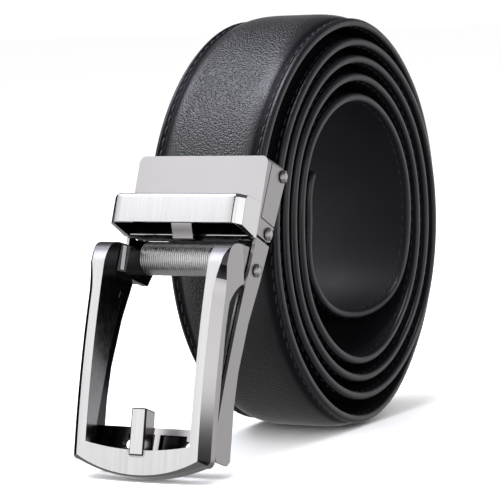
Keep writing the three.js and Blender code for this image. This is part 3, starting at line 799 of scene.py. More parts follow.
def make_inner_rails(materials):
    """Thin rails inside the chassis plates, their bright front edges showing beside the frame, their other
    faces in painted shade.
    """
    # The front edge swells from 3.7 to 6.7 out, in a curve that starts 6 below the cam pin
    front_top, front_swell, curve_start, curve_length, curve_power = 3.7, 3, 6, 42, 1.8
    satin_in_front = (0, 1, 1, 1)
    steps = 16
    rails = []
    for side in (-1, 1):
        inner, outer = side * (INNER_RAIL_OUTER - INNER_RAIL_WIDTH), side * INNER_RAIL_OUTER
        rings = []
        for i in range(steps + 1):
            down = INNER_RAIL_TOP + (INNER_RAIL_END - INNER_RAIL_TOP) * i / steps
            share = (down - CAM_PIN[0] - curve_start) / curve_length
            front = front_top + front_swell * (1 - (1 - share) ** curve_power)
            back = front - INNER_RAIL_DEPTH
            rings.append(square_ring(inner, outer, down, front, back))
        rails.append(skin("inner_rail", rings, satin_in_front, materials))
    return join_into(rails[0], rails[1:])


def bar_front(x):
    """How far out the cover bar's face is across its width, turned back at both ends."""
    over = max(abs(x) - BAR_FACE_WIDTH / 2, 0)
    bevel = (BAR_WIDTH - BAR_FACE_WIDTH) / 2
    bend = 1.25
    return BAR_FACE_OUT - bevel * (over / bevel) ** bend


def make_cover_bar(materials):
    """Hollow bar: brushed face, turned ends, painted shade inside, with a raised rib and a tab bent down in
    it.
    """
    wall = BAR_WALL
    bottom = BAR_TOP + BAR_FACE_HEIGHT
    deepest = bottom + BAR_BACK_DROP
    steps = 6
    roll = [math.pi / 2 * i / steps for i in range(steps + 1)]
    beside_lugs = FRAME_OPENING / 2 - 0.3

    def outer_top(x):
        """The rolled edge between the top and the face."""
        front = bar_front(x)
        return [
            (x, BAR_TOP + BAR_CORNER * (1 - math.sin(a)), front - BAR_CORNER * (1 - math.cos(a)))
            for a in reversed(roll)
        ]

    def shell_ring(x):
        """Round the hollow bar: back wall, top, face, and back along the inside."""
        front = bar_front(x)
        lowest = deepest - BAR_NOTCH if abs(x) > beside_lugs else deepest
        return (
            [(x, lowest, BAR_BACK), (x, BAR_TOP, BAR_BACK)]
            + outer_top(x)
            + [
                (x, bottom, front),
                (x, bottom, front - wall * 0.7),
                (x, BAR_TOP + wall, front - wall),
                (x, BAR_TOP + wall, BAR_BACK + wall),
                (x, lowest, BAR_BACK + wall),
            ]
        )

    def end_ring(x):
        """Round the solid end of the bar."""
        return [
            (x, bottom + 1.4, BAR_BACK), (x, BAR_TOP, BAR_BACK), *outer_top(x), (x, bottom, bar_front(x)),
            (x, bottom + 1.2, BAR_BACK + 1.8), (x, bottom + 1.4, BAR_BACK + 1),
        ]

    inner = BAR_WIDTH / 2 - wall * 1.4
    outward = [BAR_FACE_WIDTH / 2 + 0.1 * i for i in range(int((inner - BAR_FACE_WIDTH / 2) * 10) + 1)]
    outward += [beside_lugs - 0.1, beside_lugs + 0.1]
    stations = sorted({-inner, inner, *outward, *(-x for x in outward)})
    finishes = (BRUSHED,) * 10 + (DARK,) * 3 + (BRUSHED,)
    shell = skin("bar_shell", [shell_ring(x) for x in stations], finishes, materials, closed_ends=False)
    parts = []
    for side in (-1, 1):
        places = [side * (inner + (BAR_WIDTH / 2 - inner) * i / 8) for i in range(9)]
        parts.append(skin("bar_end", [end_ring(x) for x in places], (BRUSHED,) * 12, materials))
    half_round = [math.pi * i / 4 for i in range(5)]
    for side in (-1, 1):
        rib = []
        for x in (TAB_WIDTH / 2 + 0.3, TAB_WIDTH / 2 + 0.9, inner - 0.9, inner - 0.1):
            size = BAR_RIB if TAB_WIDTH / 2 + 0.5 < x < inner - 0.5 else BAR_RIB * 0.3
            ring = []
            for a in half_round:
                down, out = bottom + BAR_RIB_DROP + size * math.cos(a), BAR_BACK + wall + size * math.sin(a)
                ring.append((side * x, down, out))
            rib.append(ring)
        parts.append(skin("bar_rib", rib, (BRUSHED,) * len(half_round), materials))
    tab = []
    half = TAB_WIDTH / 2
    start = BAR_TOP + wall * 0.8
    steps = 10
    for i in range(steps + 1):
        share = i / steps
        down = start + (deepest - start) * share
        front = BAR_BACK + TAB_OUT - TAB_BEND * smooth_step(share, 0.55, 1.05)
        back = front - TAB_THICKNESS
        tab.append(square_ring(-half, half, down, front, back))
    parts.append(skin("bar_tab", tab, (SATIN, DARK, DARK, DARK), materials))
    return join_into(shell, parts)


# Materials


def new_material(name):
    """A material without any nodes yet."""
    material = bpy.data.materials.new(name)
    material.use_nodes = True
    material.node_tree.nodes.clear()
    return material


def add_node(material, kind, values=None, links=None, **settings):
    """One shader node with its own settings, its unlinked sockets' values and what feeds the others."""
    node = material.node_tree.nodes.new(kind)
    for name, value in settings.items():
        setattr(node, name, value)
    for socket, value in (values or {}).items():
        node.inputs[socket].default_value = value
    for socket, source in (links or {}).items():
        material.node_tree.links.new(source, node.inputs[socket])
    return node


def finish_material(material, shader):
    """Joins a shader to the material's output."""
    add_node(material, "ShaderNodeOutputMaterial", links={"Surface": shader.outputs[0]})
    return material


def grained_cowhide():
    """Corrected-grain cowhide, pigmented black and embossed: fine pebbles that break up its soft sheen."""
    m = new_material("grained_cowhide")
    place = add_node(m, "ShaderNodeTexCoord").outputs["Object"]
    # Pebbles about 0.6 mm across
    pebbles = add_node(
        m, "ShaderNodeTexVoronoi", {"Scale": 1700, "Randomness": 1}, {"Vector": place}, feature="F1"
    )
    pores = add_node(m, "ShaderNodeTexNoise", {"Scale": 2600, "Detail": 3}, {"Vector": place})
    folds = add_node(
        m, "ShaderNodeTexNoise", {"Scale": 420, "Detail": 4, "Roughness": 0.6}, {"Vector": place}
    )
    patches = add_node(m, "ShaderNodeTexNoise", {"Scale": 45, "Detail": 3}, {"Vector": place})
    rough = add_node(
        m, "ShaderNodeMapRange", {"From Min": 0.3, "From Max": 0.7, "To Min": 0.34, "To Max": 0.46},
        {"Value": patches.outputs["Fac"]},
    )
    # The border beside the stitches is pressed and left dull, out to the rolled lip
    across = add_node(m, "ShaderNodeAttribute", attribute_name="across").outputs["Fac"]
    into_border = add_node(m, "ShaderNodeMapRange", {"From Min": 0.72, "From Max": 0.8}, {"Value": across})
    onto_lip = add_node(m, "ShaderNodeMapRange", {"From Min": 0.925, "From Max": 0.95}, {"Value": across})
    dull = add_node(
        m, "ShaderNodeMath", links={0: into_border.outputs[0], 1: onto_lip.outputs[0]}, operation="SUBTRACT"
    )
    coat = add_node(m, "ShaderNodeMapRange", {"To Min": 0.46, "To Max": 0}, {"Value": dull.outputs[0]})
    gloss = add_node(m, "ShaderNodeMapRange", {"To Min": 0.38, "To Max": 0.1}, {"Value": dull.outputs[0]})
    tone = add_node(
        m, "ShaderNodeMix", {"A": rgb("#040407"), "B": rgb("#0e0e14")},
        {"Factor": pebbles.outputs["Distance"]}, data_type="RGBA",
    )
    low = add_node(
        m, "ShaderNodeBump", {"Strength": 0.12, "Distance": 0.0003}, {"Height": folds.outputs["Fac"]},
    )
    # The grain is pulled flat where the padding's shoulder stretches it
    grain = add_node(
        m, "ShaderNodeMapRange", {"From Min": 0.55, "From Max": 0.7, "To Min": 0.75, "To Max": 0.18},
        {"Value": across},
    )
    middle = add_node(
        m, "ShaderNodeBump", {"Distance": 0.00028},
        {"Height": pebbles.outputs["Distance"], "Normal": low.outputs[0], "Strength": grain.outputs[0]},
        invert=True,
    )
    top = add_node(
        m, "ShaderNodeBump", {"Strength": 0.35, "Distance": 0.0001},
        {"Height": pores.outputs["Fac"], "Normal": middle.outputs[0]},
    )
    shader = add_node(
        m, "ShaderNodeBsdfPrincipled", {"IOR": 1.5, "Coat Roughness": 0.22},
        {
            "Coat Weight": coat.outputs[0], "Specular IOR Level": gloss.outputs[0],
            "Base Color": tone.outputs["Result"], "Roughness": rough.outputs[0],
            "Normal": top.outputs[0], "Coat Normal": top.outputs[0],
        },
    )
    return finish_material(m, shader)


def painted_edge():
    """Acrylic edge paint, brushed on and burnished: dark grey satin band with slight unevenness."""
    m = new_material("painted_edge")
    place = add_node(m, "ShaderNodeTexCoord").outputs["Object"]
    waves = add_node(m, "ShaderNodeTexNoise", {"Scale": 260, "Detail": 3}, {"Vector": place})
    rough = add_node(
        m, "ShaderNodeMapRange", {"From Min": 0.3, "From Max": 0.7, "To Min": 0.24, "To Max": 0.36},
        {"Value": waves.outputs["Fac"]},
    )
    bump = add_node(
        m, "ShaderNodeBump", {"Strength": 0.2, "Distance": 0.0002}, {"Height": waves.outputs["Fac"]}
    )
    tone = add_node(
        m, "ShaderNodeMix", {"A": rgb("#0c0c11"), "B": rgb("#15151c")}, {"Factor": waves.outputs["Fac"]},
        data_type="RGBA",
    )
    shader = add_node(
        m, "ShaderNodeBsdfPrincipled", {"IOR": 1.5},
        {"Base Color": tone.outputs["Result"], "Roughness": rough.outputs[0], "Normal": bump.outputs[0]},
    )
    return finish_material(m, shader)


def smooth_lining():
    """Split leather with a smooth polyurethane finish: an even satin black with a faint texture."""
    m = new_material("smooth_lining")
    place = add_node(m, "ShaderNodeTexCoord").outputs["Object"]
    fine = add_node(m, "ShaderNodeTexNoise", {"Scale": 1500, "Detail": 3}, {"Vector": place})
    broad = add_node(m, "ShaderNodeTexNoise", {"Scale": 60, "Detail": 2}, {"Vector": place})
    rough = add_node(
        m, "ShaderNodeMapRange", {"From Min": 0.3, "From Max": 0.7, "To Min": 0.56, "To Max": 0.64},
        {"Value": broad.outputs["Fac"]},
    )
    bump = add_node(
        m, "ShaderNodeBump", {"Strength": 0.15, "Distance": 0.0001}, {"Height": fine.outputs["Fac"]}
    )
    tone = add_node(
        m, "ShaderNodeMix", {"A": rgb("#09090e"), "B": rgb("#101017")}, {"Factor": broad.outputs["Fac"]},
        data_type="RGBA",
    )
    shader = add_node(
        m, "ShaderNodeBsdfPrincipled", {"IOR": 1.5, "Specular IOR Level": 0.3},
        {"Base Color": tone.outputs["Result"], "Roughness": rough.outputs[0], "Normal": bump.outputs[0]},
    )
    return finish_material(m, shader)


def bonded_thread(name, deep, light):
    """Bonded polyester thread: dark grey on the face; the lining's copy is darker still, painted shade for
    the stitches inside the coil.
    """
    m = new_material(name)
    place = add_node(m, "ShaderNodeTexCoord").outputs["Object"]
    plies = add_node(m, "ShaderNodeTexNoise", {"Scale": 2200, "Detail": 1}, {"Vector": place})
    bump = add_node(
        m, "ShaderNodeBump", {"Strength": 0.4, "Distance": 0.0001}, {"Height": plies.outputs["Fac"]}
    )
    tone = add_node(
        m, "ShaderNodeMix", {"A": rgb(deep), "B": rgb(light)}, {"Factor": plies.outputs["Fac"]},
        data_type="RGBA",
    )
    shader = add_node(
        m, "ShaderNodeBsdfPrincipled", {"IOR": 1.5, "Roughness": 0.48},
        {"Base Color": tone.outputs["Result"], "Normal": bump.outputs[0]},
    )
    return finish_material(m, shader)


def buckle_coordinates(m):
    """Object coordinates turned so that Z runs down the leaning buckle."""
    place = add_node(m, "ShaderNodeTexCoord")
    return place, add_node(
        m, "ShaderNodeMapping", {"Rotation": (LEAN, 0, 0)}, {"Vector": place.outputs["Object"]}
    )


def satin_nickel():
    """Nickel plate over bead-blasted zinc alloy: an even grey satin with soft, wide reflections."""
    m = new_material("satin_nickel")
    place = add_node(m, "ShaderNodeTexCoord").outputs["Object"]
    grit = add_node(m, "ShaderNodeTexNoise", {"Scale": 3000, "Detail": 2}, {"Vector": place})
    broad = add_node(m, "ShaderNodeTexNoise", {"Scale": 40, "Detail": 2}, {"Vector": place})
    rough = add_node(
        m, "ShaderNodeMapRange", {"From Min": 0.3, "From Max": 0.7, "To Min": 0.3, "To Max": 0.36},
        {"Value": broad.outputs["Fac"]},
    )
    bump = add_node(
        m, "ShaderNodeBump", {"Strength": 0.06, "Distance": 0.00005}, {"Height": grit.outputs["Fac"]}
    )
    tone = add_node(
        m, "ShaderNodeMix", {"A": rgb("#a6a3a5"), "B": rgb("#afacae")}, {"Factor": broad.outputs["Fac"]},
        data_type="RGBA",
    )
    shader = add_node(
        m, "ShaderNodeBsdfPrincipled", {"Metallic": 1},
        {"Base Color": tone.outputs["Result"], "Roughness": rough.outputs[0], "Normal": bump.outputs[0]},
    )
    return finish_material(m, shader)


def chassis_nickel():
    """Satin nickel on the outside of the side plates; every face inside the buckle takes painted shade, the
    same dark nickel tone.
    """
    m = satin_nickel()
    m.name = "chassis_nickel"
    shader = m.node_tree.nodes["Principled BSDF"]
    place = add_node(m, "ShaderNodeTexCoord")
    spot = add_node(m, "ShaderNodeSeparateXYZ", links={0: place.outputs["Object"]})
    facing = add_node(m, "ShaderNodeSeparateXYZ", links={0: place.outputs["Normal"]})
    side = add_node(m, "ShaderNodeMath", links={0: spot.outputs["X"]}, operation="SIGN")
    outward = add_node(
        m, "ShaderNodeMath", links={0: facing.outputs["X"], 1: side.outputs[0]}, operation="MULTIPLY"
    )
    turned_in = add_node(m, "ShaderNodeMath", {1: -0.5}, {0: outward.outputs[0]}, operation="LESS_THAN")
    reach = add_node(m, "ShaderNodeMath", links={0: spot.outputs["X"]}, operation="ABSOLUTE")
    inside_plates = add_node(
        m, "ShaderNodeMath", {1: PLATE_INNER * MM}, {0: reach.outputs[0]}, operation="LESS_THAN"
    )
    # Painted highlight: the cross plate's front beside the prong, above its pockets, takes a lighter satin
    # tone, while the pockets keep the painted shade
    front = add_node(
        m, "ShaderNodeVectorMath", {1: tuple(OUT)}, {0: place.outputs["Normal"]}, operation="DOT_PRODUCT"
    )
    turned_out = add_node(
        m, "ShaderNodeMath", {1: 0.8}, {0: front.outputs["Value"]}, operation="GREATER_THAN"
    )
    beside = add_node(
        m, "ShaderNodeMath", {1: HIGHLIGHT_FROM * MM}, {0: spot.outputs["X"]}, operation="GREATER_THAN"
    )
    depth = add_node(
        m, "ShaderNodeVectorMath", {1: tuple(OUT)}, {0: place.outputs["Object"]}, operation="DOT_PRODUCT"
    )
    pocket_floor = (MOUTH.dot(OUT) + POCKET_FLOOR_OUT) * MM
    above = add_node(
        m, "ShaderNodeMath", {1: pocket_floor}, {0: depth.outputs["Value"]}, operation="GREATER_THAN"
    )
    right_end = add_node(
        m, "ShaderNodeMath", links={0: above.outputs[0], 1: beside.outputs[0]}, operation="MULTIPLY"
    )
    painted_highlight = add_node(
        m, "ShaderNodeMath", links={0: turned_out.outputs[0], 1: right_end.outputs[0]}, operation="MULTIPLY"
    )
    dark_part = add_node(
        m, "ShaderNodeMath", links={0: inside_plates.outputs[0], 1: painted_highlight.outputs[0]}, operation="SUBTRACT"
    )
    inside = add_node(
        m, "ShaderNodeMath", links={0: turned_in.outputs[0], 1: dark_part.outputs[0]}, operation="MAXIMUM"
    )
    plate_tone = add_node(
        m, "ShaderNodeMix", {"B": rgb("#c4c1c3")},
        {"Factor": painted_highlight.outputs[0], "A": shader.inputs["Base Color"].links[0].from_socket}, data_type="RGBA",
    )
    satin_tone = plate_tone.outputs["Result"]
    tone = add_node(
        m, "ShaderNodeMix", {"B": rgb("#3a383b")}, {"Factor": inside.outputs[0], "A": satin_tone},
        data_type="RGBA",
    )
    m.node_tree.links.new(tone.outputs["Result"], shader.inputs["Base Color"])
    satin_rough = shader.inputs["Roughness"].links[0].from_socket
    rough = add_node(
        m, "ShaderNodeMix", {"B": 0.16}, {"Factor": inside.outputs[0], "A": satin_rough}, data_type="FLOAT"
    )
    m.node_tree.links.new(rough.outputs["Result"], shader.inputs["Roughness"])
    return m


def brushed_nickel(name, polish, top_shade):
    """Nickel plate: faces turned out or up are brushed down the buckle, every other face is polished."""
    m = new_material(name)
    # A face counts as turned out from here, by how far it faces outwards and up less sideways
    limit = 0.78
    place, turned = buckle_coordinates(m)
    facing = add_node(
        m, "ShaderNodeVectorMath", links={0: place.outputs["Normal"]}, operation="DOT_PRODUCT"
    )
    facing.inputs[1].default_value = tuple(OUT - DOWN * 0.6)
    parts = add_node(m, "ShaderNodeSeparateXYZ", links={0: place.outputs["Normal"]})
    sideways = add_node(m, "ShaderNodeMath", links={0: parts.outputs["X"]}, operation="ABSOLUTE")
    faced = add_node(
        m, "ShaderNodeMath", links={0: facing.outputs["Value"], 1: sideways.outputs[0]},
        operation="SUBTRACT",
    )
    flat = add_node(
        m, "ShaderNodeMapRange", {"From Min": limit, "From Max": limit + 0.02}, {"Value": faced.outputs[0]},
    )
    # Brush lines about 0.25 mm apart and 12 mm long
    stretched = add_node(m, "ShaderNodeMapping", {"Scale": (4000, 60, 80)}, {"Vector": turned.outputs[0]})
    lines = add_node(
        m, "ShaderNodeTexNoise", {"Scale": 1, "Detail": 3, "Roughness": 0.6},
        {"Vector": stretched.outputs[0]},
    )
    coarse = add_node(m, "ShaderNodeMapping", {"Scale": (900, 20, 30)}, {"Vector": turned.outputs[0]})
    streaks = add_node(m, "ShaderNodeTexNoise", {"Scale": 1, "Detail": 2}, {"Vector": coarse.outputs[0]})
    both = add_node(
        m, "ShaderNodeMath", links={0: lines.outputs["Fac"], 1: streaks.outputs["Fac"]}, operation="ADD"
    )
    rough = add_node(
        m, "ShaderNodeMapRange", {"From Min": 0.7, "From Max": 1.3, "To Min": 0.3, "To Max": 0.45},
        {"Value": both.outputs[0]},
    )
    surface = add_node(
        m, "ShaderNodeMix", {"A": 0.14}, {"Factor": flat.outputs[0], "B": rough.outputs[0]},
        data_type="FLOAT",
    )
    strength = add_node(m, "ShaderNodeMath", {1: 0.25}, {0: flat.outputs[0]}, operation="MULTIPLY")
    bump = add_node(
        m, "ShaderNodeBump", {"Distance": 0.00006},
        {"Height": both.outputs[0], "Strength": strength.outputs[0]},
    )
    level = add_node(
        m, "ShaderNodeMix", {"A": rgb("#acabac"), "B": rgb("#cfcecf")}, {"Factor": lines.outputs["Fac"]},
        data_type="RGBA",
    )
    # Painted shade: faces turned up the buckle take a darker tone, the more so for a larger top_shade
    rise = add_node(
        m, "ShaderNodeVectorMath", {1: tuple(-DOWN)}, {0: place.outputs["Normal"]}, operation="DOT_PRODUCT"
    )
    top_painted_shade = add_node(
        m, "ShaderNodeMapRange", {"From Min": 0.03, "From Max": 0.45, "To Min": 0, "To Max": top_shade},
        {"Value": rise.outputs["Value"]},
    )
    bright = add_node(
        m, "ShaderNodeMix", {"B": rgb("#454344")},
        {"Factor": top_painted_shade.outputs[0], "A": level.outputs["Result"]},
        data_type="RGBA",
    )
    tone = add_node(
        m, "ShaderNodeMix", {"A": rgb(polish)}, {"Factor": flat.outputs[0], "B": bright.outputs["Result"]},
        data_type="RGBA",
    )
    shader = add_node(
        m, "ShaderNodeBsdfPrincipled", {"Metallic": 1},
        {"Base Color": tone.outputs["Result"], "Roughness": surface.outputs[0], "Normal": bump.outputs[0]},
    )
    return finish_material(m, shader)


def polished_nickel():
    """Polished nickel plate on the rivets: sharp reflections with the faintest haze."""
    m = new_material("polished_nickel")
    place = add_node(m, "ShaderNodeTexCoord").outputs["Object"]
    haze = add_node(m, "ShaderNodeTexNoise", {"Scale": 700, "Detail": 2}, {"Vector": place})
    rough = add_node(
        m, "ShaderNodeMapRange", {"From Min": 0.3, "From Max": 0.7, "To Min": 0.06, "To Max": 0.12},
        {"Value": haze.outputs["Fac"]},
    )
    tone = add_node(
        m, "ShaderNodeMix", {"A": rgb("#a9a5a8"), "B": rgb("#bdb9bb")}, {"Factor": haze.outputs["Fac"]},
        data_type="RGBA",
    )
    shader = add_node(
        m, "ShaderNodeBsdfPrincipled", {"Metallic": 1},
        {"Base Color": tone.outputs["Result"], "Roughness": rough.outputs[0]},
    )
    return finish_material(m, shader)


def nickel_painted_shade():
    """Painted shade on the faces inside the buckle, and a painted dark reflection on the chamfers' leaves:
    nickel darkened to a dark mirror with a little haze.
    """
    m = new_material("nickel_painted_shade")
    place = add_node(m, "ShaderNodeTexCoord").outputs["Object"]
    haze = add_node(m, "ShaderNodeTexNoise", {"Scale": 500, "Detail": 2}, {"Vector": place})
    rough = add_node(
        m, "ShaderNodeMapRange", {"From Min": 0.3, "From Max": 0.7, "To Min": 0.12, "To Max": 0.22},
        {"Value": haze.outputs["Fac"]},
    )
    deep = add_node(
        m, "ShaderNodeMix", {"A": rgb("#3a383b"), "B": rgb("#454346")}, {"Factor": haze.outputs["Fac"]},
        data_type="RGBA",
    )
    # The painted shade is lighter towards the foot of the legs
    spot = add_node(m, "ShaderNodeSeparateXYZ", links={0: place})
    low = add_node(
        m, "ShaderNodeMapRange", {"From Min": 0.045, "From Max": 0.016, "To Min": 0, "To Max": 0.75},
        {"Value": spot.outputs["Z"]},
    )
    tone = add_node(
        m, "ShaderNodeMix", {"B": rgb("#a09da0")},
        {"Factor": low.outputs[0], "A": deep.outputs["Result"]}, data_type="RGBA",
    )
    shader = add_node(
        m, "ShaderNodeBsdfPrincipled", {"Metallic": 1},
        {"Base Color": tone.outputs["Result"], "Roughness": rough.outputs[0]},
    )
    return finish_material(m, shader)


def edge_lines_painted_shade():
    """Painted shade in the rolled edges: near-black lines that outline each face."""
    m = new_material("edge_lines_painted_shade")
    place = add_node(m, "ShaderNodeTexCoord").outputs["Object"]
    patchiness = add_node(m, "ShaderNodeTexNoise", {"Scale": 300, "Detail": 3}, {"Vector": place})
    tone = add_node(
        m, "ShaderNodeMix", {"A": rgb("#141315"), "B": rgb("#4a484a")}, {"Factor": patchiness.outputs["Fac"]},
        data_type="RGBA",
    )
    shader = add_node(
        m, "ShaderNodeBsdfPrincipled", {"Metallic": 1, "Roughness": 0.4},
        {"Base Color": tone.outputs["Result"]},
    )
    return finish_material(m, shader)


def turned_nickel():
    """Turned and plated steel on the roller: ridges in a bright tone that runs up to white along the turning
    marks, as painted glints, and grooves darkened with painted shade.
    """
    m = new_material("turned_nickel")
    place, turned = buckle_coordinates(m)
    stretched = add_node(m, "ShaderNodeMapping", {"Scale": (2500, 900, 900)}, {"Vector": turned.outputs[0]})
    marks = add_node(m, "ShaderNodeTexNoise", {"Scale": 1, "Detail": 2}, {"Vector": stretched.outputs[0]})
    rough = add_node(
        m, "ShaderNodeMapRange", {"From Min": 0.3, "From Max": 0.7, "To Min": 0.26, "To Max": 0.55},
        {"Value": marks.outputs["Fac"]},
    )
    spot = add_node(m, "ShaderNodeSeparateXYZ", links={0: place.outputs["Object"]})
    pitch = ROLLER_WIDTH / ROLLER_GROOVES * MM
    count = add_node(
        m, "ShaderNodeMath", {1: 1 / pitch, 2: ROLLER_GROOVES / 2}, {0: spot.outputs["X"]},
        operation="MULTIPLY_ADD",
    )
    share = add_node(m, "ShaderNodeMath", links={0: count.outputs[0]}, operation="FRACT")
    # Painted shade: the grooves take a darker tone than the ridges
    groove_middle = 0.69
    from_groove = add_node(
        m, "ShaderNodeMath", {1: groove_middle}, {0: share.outputs[0]}, operation="SUBTRACT"
    )
    distance = add_node(m, "ShaderNodeMath", links={0: from_groove.outputs[0]}, operation="ABSOLUTE")
    ridge = add_node(
        m, "ShaderNodeMapRange", {"From Min": 0.06, "From Max": 0.2, "To Min": 0, "To Max": 1},
        {"Value": distance.outputs[0]},
    )
    bright = add_node(
        m, "ShaderNodeMix", {"A": rgb("#c9c6c7"), "B": rgb("#ffffff")}, {"Factor": marks.outputs["Fac"]},
        data_type="RGBA",
    )
    tone = add_node(
        m, "ShaderNodeMix", {"A": rgb("#a5a3a5")},
        {"Factor": ridge.outputs[0], "B": bright.outputs["Result"]},
        data_type="RGBA",
    )
    shader = add_node(
        m, "ShaderNodeBsdfPrincipled", {"Metallic": 1},
        {"Base Color": tone.outputs["Result"], "Roughness": rough.outputs[0]},
    )
    return finish_material(m, shader)


def dress_node(name, materials, bevel):
    """Gives a carried-over metal piece its finish, merged flats and rolled edges.

    A second finish, where there is one, is for the edges.
    """
    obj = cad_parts[name]
    obj.data.materials.clear()
    for material in materials:
        obj.data.materials.append(material)
    weld = obj.modifiers.new("weld", "WELD")
    weld.merge_threshold = WELD_DISTANCE * MM
    flats = obj.modifiers.new("flats", "DECIMATE")
    flats.decimate_type = "DISSOLVE"
    flats.angle_limit = math.radians(1.5)
    if bevel:
        roll_edges(obj, bevel, angle=30, segments=2, finish=1 if len(materials) > 1 else -1)


# Build

leather, edge_paint, lining = grained_cowhide(), painted_edge(), smooth_lining()
strap = make_strap([leather, edge_paint, lining])
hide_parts("strap")
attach(strap, "belt")

face_thread = bonded_thread("face_thread", "#131316", "#2b2b31")
lining_thread_painted_shade = bonded_thread("lining_thread_painted_shade", "#0c0c10", "#131318")
stitching = make_stitching([face_thread, lining_thread_painted_shade])
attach(stitching, "belt")

roller = make_roller(turned_nickel())
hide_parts("grip_roller")
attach(roller, "frame")

satin = satin_nickel()
polished = polished_nickel()
brushed = brushed_nickel("brushed_nickel", "#a8a5a6", 0.9)
# The cover bar's copy: a brighter polished tone, a painted highlight on its turned ends and rib, and less
# painted shade on its top
brushed_bar = brushed_nickel("brushed_nickel_painted_highlight_ends", "#dddbdc", 0.25)
dark = nickel_painted_shade()
edge_shade = edge_lines_painted_shade()
front_frame = roll_edges(make_frame([brushed, dark, satin, edge_shade]), width=0.16, finish=EDGE_SHADE)
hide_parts("front_frame")
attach(front_frame, "frame")

inner_rails = roll_edges(make_inner_rails([satin, dark]), width=0.1)
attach(inner_rails, "chassis")

cover_bar = roll_edges(make_cover_bar([brushed_bar, dark, satin, edge_shade]), width=0.12, finish=EDGE_SHADE)
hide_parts("cover_bar")
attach(cover_bar, "belt")

for node, materials, bevel in (
    ("strap_clamp", [satin], 0.12),
    ("clamp_jaw", [satin], 0.08),
    ("chassis", [chassis_nickel()], 0.22),
    ("jaw_pin", [polished], 0),
    ("hinge_pin", [polished], 0),
    ("cam_pin", [polished], 0),
    ("prong", [brushed, edge_shade], 0.42),
):
    dress_node(node, materials, bevel)


# Studio


def make_card(name, half_x, half_y, material_name, look):
    """A flat rectangle in one plain finish, given by its shader's values."""
    mesh = bpy.data.meshes.new(name)
    corners = [(-half_x, -half_y, 0), (half_x, -half_y, 0), (half_x, half_y, 0), (-half_x, half_y, 0)]
    mesh.from_pydata(corners, [], [(0, 1, 2, 3)])
    m = new_material(material_name)
    mesh.materials.append(finish_material(m, add_node(m, "ShaderNodeBsdfPrincipled", look)))
    card = bpy.data.objects.new(name, mesh)
    bpy.context.scene.collection.objects.link(card)
    return card


def face_belt(obj, towards, distance, facing_axis):
    """Puts a card or a light in a direction from the belt, turned to face it."""
    direction = Vector(towards).normalized()
    obj.location = BELT_MIDDLE + direction * distance
    obj.rotation_euler = (-direction).to_track_quat(facing_axis, "Y").to_euler()


def make_floor():
    """White paper, which the metal doesn't reflect: it sees the room's white instead."""
    look = {"Base Color": rgb("#ffffff"), "Roughness": 0.9}
    floor = make_card("floor", FLOOR_REACH, FLOOR_REACH, "white_paper", look)
    floor.visible_glossy = False


def make_flag(towards, distance, size):
    """A black card that only reflections see: it darkens the turned edges of the metal."""
    look = {"Base Color": rgb("#020202"), "Roughness": 1, "Specular IOR Level": 0}
    flag = make_card("black_flag", size[0] / 2, size[1] / 2, "black_card", look)
    face_belt(flag, towards, distance, "Z")
    flag.visible_camera = False
    flag.visible_diffuse = False
    flag.visible_shadow = False


def make_softbox(name, towards, distance, size, power, tint="#ffffff"):
    """An area light that lies in a direction from the belt and faces it."""
    light = bpy.data.lights.new(name, "AREA")
    light.shape = "RECTANGLE"
    light.size, light.size_y = size
    light.energy = power
    light.color = rgb(tint)[:3]
    obj = bpy.data.objects.new(name, light)
    bpy.context.scene.collection.objects.link(obj)
    face_belt(obj, towards, distance, "-Z")


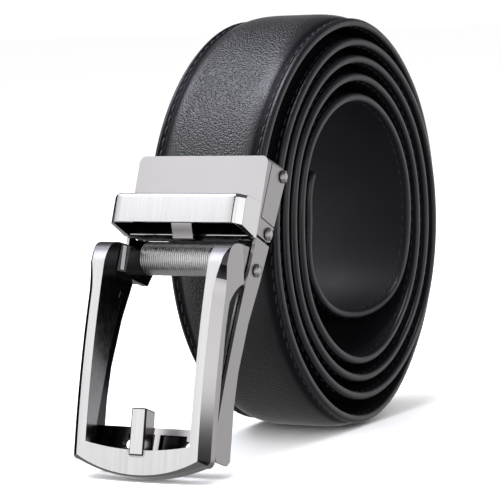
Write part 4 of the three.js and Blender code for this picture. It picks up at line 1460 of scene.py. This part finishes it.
def make_world():
    """A white room: full white behind the belt, and dimmer towards the horizon in its reflections."""
    world = bpy.data.worlds.new("studio")
    bpy.context.scene.world = world
    world.use_nodes = True
    world.node_tree.nodes.clear()
    place = add_node(world, "ShaderNodeTexCoord")
    split = add_node(world, "ShaderNodeSeparateXYZ", links={0: place.outputs["Generated"]})
    below = add_node(
        world, "ShaderNodeMapRange", {"From Min": -0.5, "From Max": -0.15, "To Min": 0.3, "To Max": 0.92},
        {"Value": split.outputs["Z"]},
    )
    above = add_node(
        world, "ShaderNodeMapRange", {"From Min": 0.02, "From Max": 0.4, "To Min": 0, "To Max": 0.82},
        {"Value": split.outputs["Z"]},
    )
    ramp = add_node(
        world, "ShaderNodeMath", links={0: below.outputs[0], 1: above.outputs[0]}, operation="SUBTRACT"
    )
    path = add_node(world, "ShaderNodeLightPath")
    room = add_node(world, "ShaderNodeBackground", {"Color": rgb("#ffffff")}, {"Strength": ramp.outputs[0]})
    white = add_node(world, "ShaderNodeBackground", {"Color": rgb("#ffffff"), "Strength": 1.05})
    both = add_node(
        world, "ShaderNodeMixShader",
        links={0: path.outputs["Is Glossy Ray"], 1: white.outputs[0], 2: room.outputs[0]},
    )
    add_node(world, "ShaderNodeOutputWorld", links={"Surface": both.outputs[0]})


def make_camera():
    """The photograph's view: slightly above the belt, to its right."""
    azimuth, elevation = math.radians(CAMERA_AZIMUTH), math.radians(CAMERA_ELEVATION)
    roll = math.radians(CAMERA_ROLL)
    data = bpy.data.cameras.new("camera")
    data.lens = LENS
    data.sensor_width = SENSOR_WIDTH
    data.clip_start = 0.05
    data.clip_end = 30
    camera = bpy.data.objects.new("camera", data)
    bpy.context.scene.collection.objects.link(camera)
    level = math.cos(elevation)
    back = Vector((math.sin(azimuth) * level, -math.cos(azimuth) * level, math.sin(elevation)))
    right = Vector((math.cos(azimuth), math.sin(azimuth), 0))
    up = back.cross(right)
    turned_right = right * math.cos(roll) + up * math.sin(roll)
    turned_up = up * math.cos(roll) - right * math.sin(roll)
    turn = Matrix((turned_right, turned_up, back)).transposed()
    camera.matrix_world = Matrix.Translation(Vector(CAMERA_PLACE) * MM) @ turn.to_4x4()
    bpy.context.scene.camera = camera


make_floor()
make_flag(towards=(0.81, -0.48, -0.19), distance=0.9, size=(0.55, 0.54))
make_flag(towards=(-0.83, 0.56, 0.02), distance=0.9, size=(0.6, 0.6))
make_softbox("front_left_softbox", towards=(-0.49, -0.74, 0.46), distance=1.1, size=(0.9, 1.1), power=4.5)
make_softbox(
    "top_softbox", towards=(-0.52, -0.12, 0.86), distance=1, size=(0.75, 0.6), power=7.8, tint=COOL_WHITE
)
make_softbox(
    "crown_softbox", towards=(0.06, -0.18, 1), distance=1, size=(0.26, 0.4), power=5.4, tint=COOL_WHITE
)
make_softbox("right_softbox", towards=(0.83, -0.4, 0.36), distance=1.3, size=(0.75, 0.65), power=1.9)
make_world()
make_camera()
bpy.context.scene.view_settings.view_transform = "Standard"
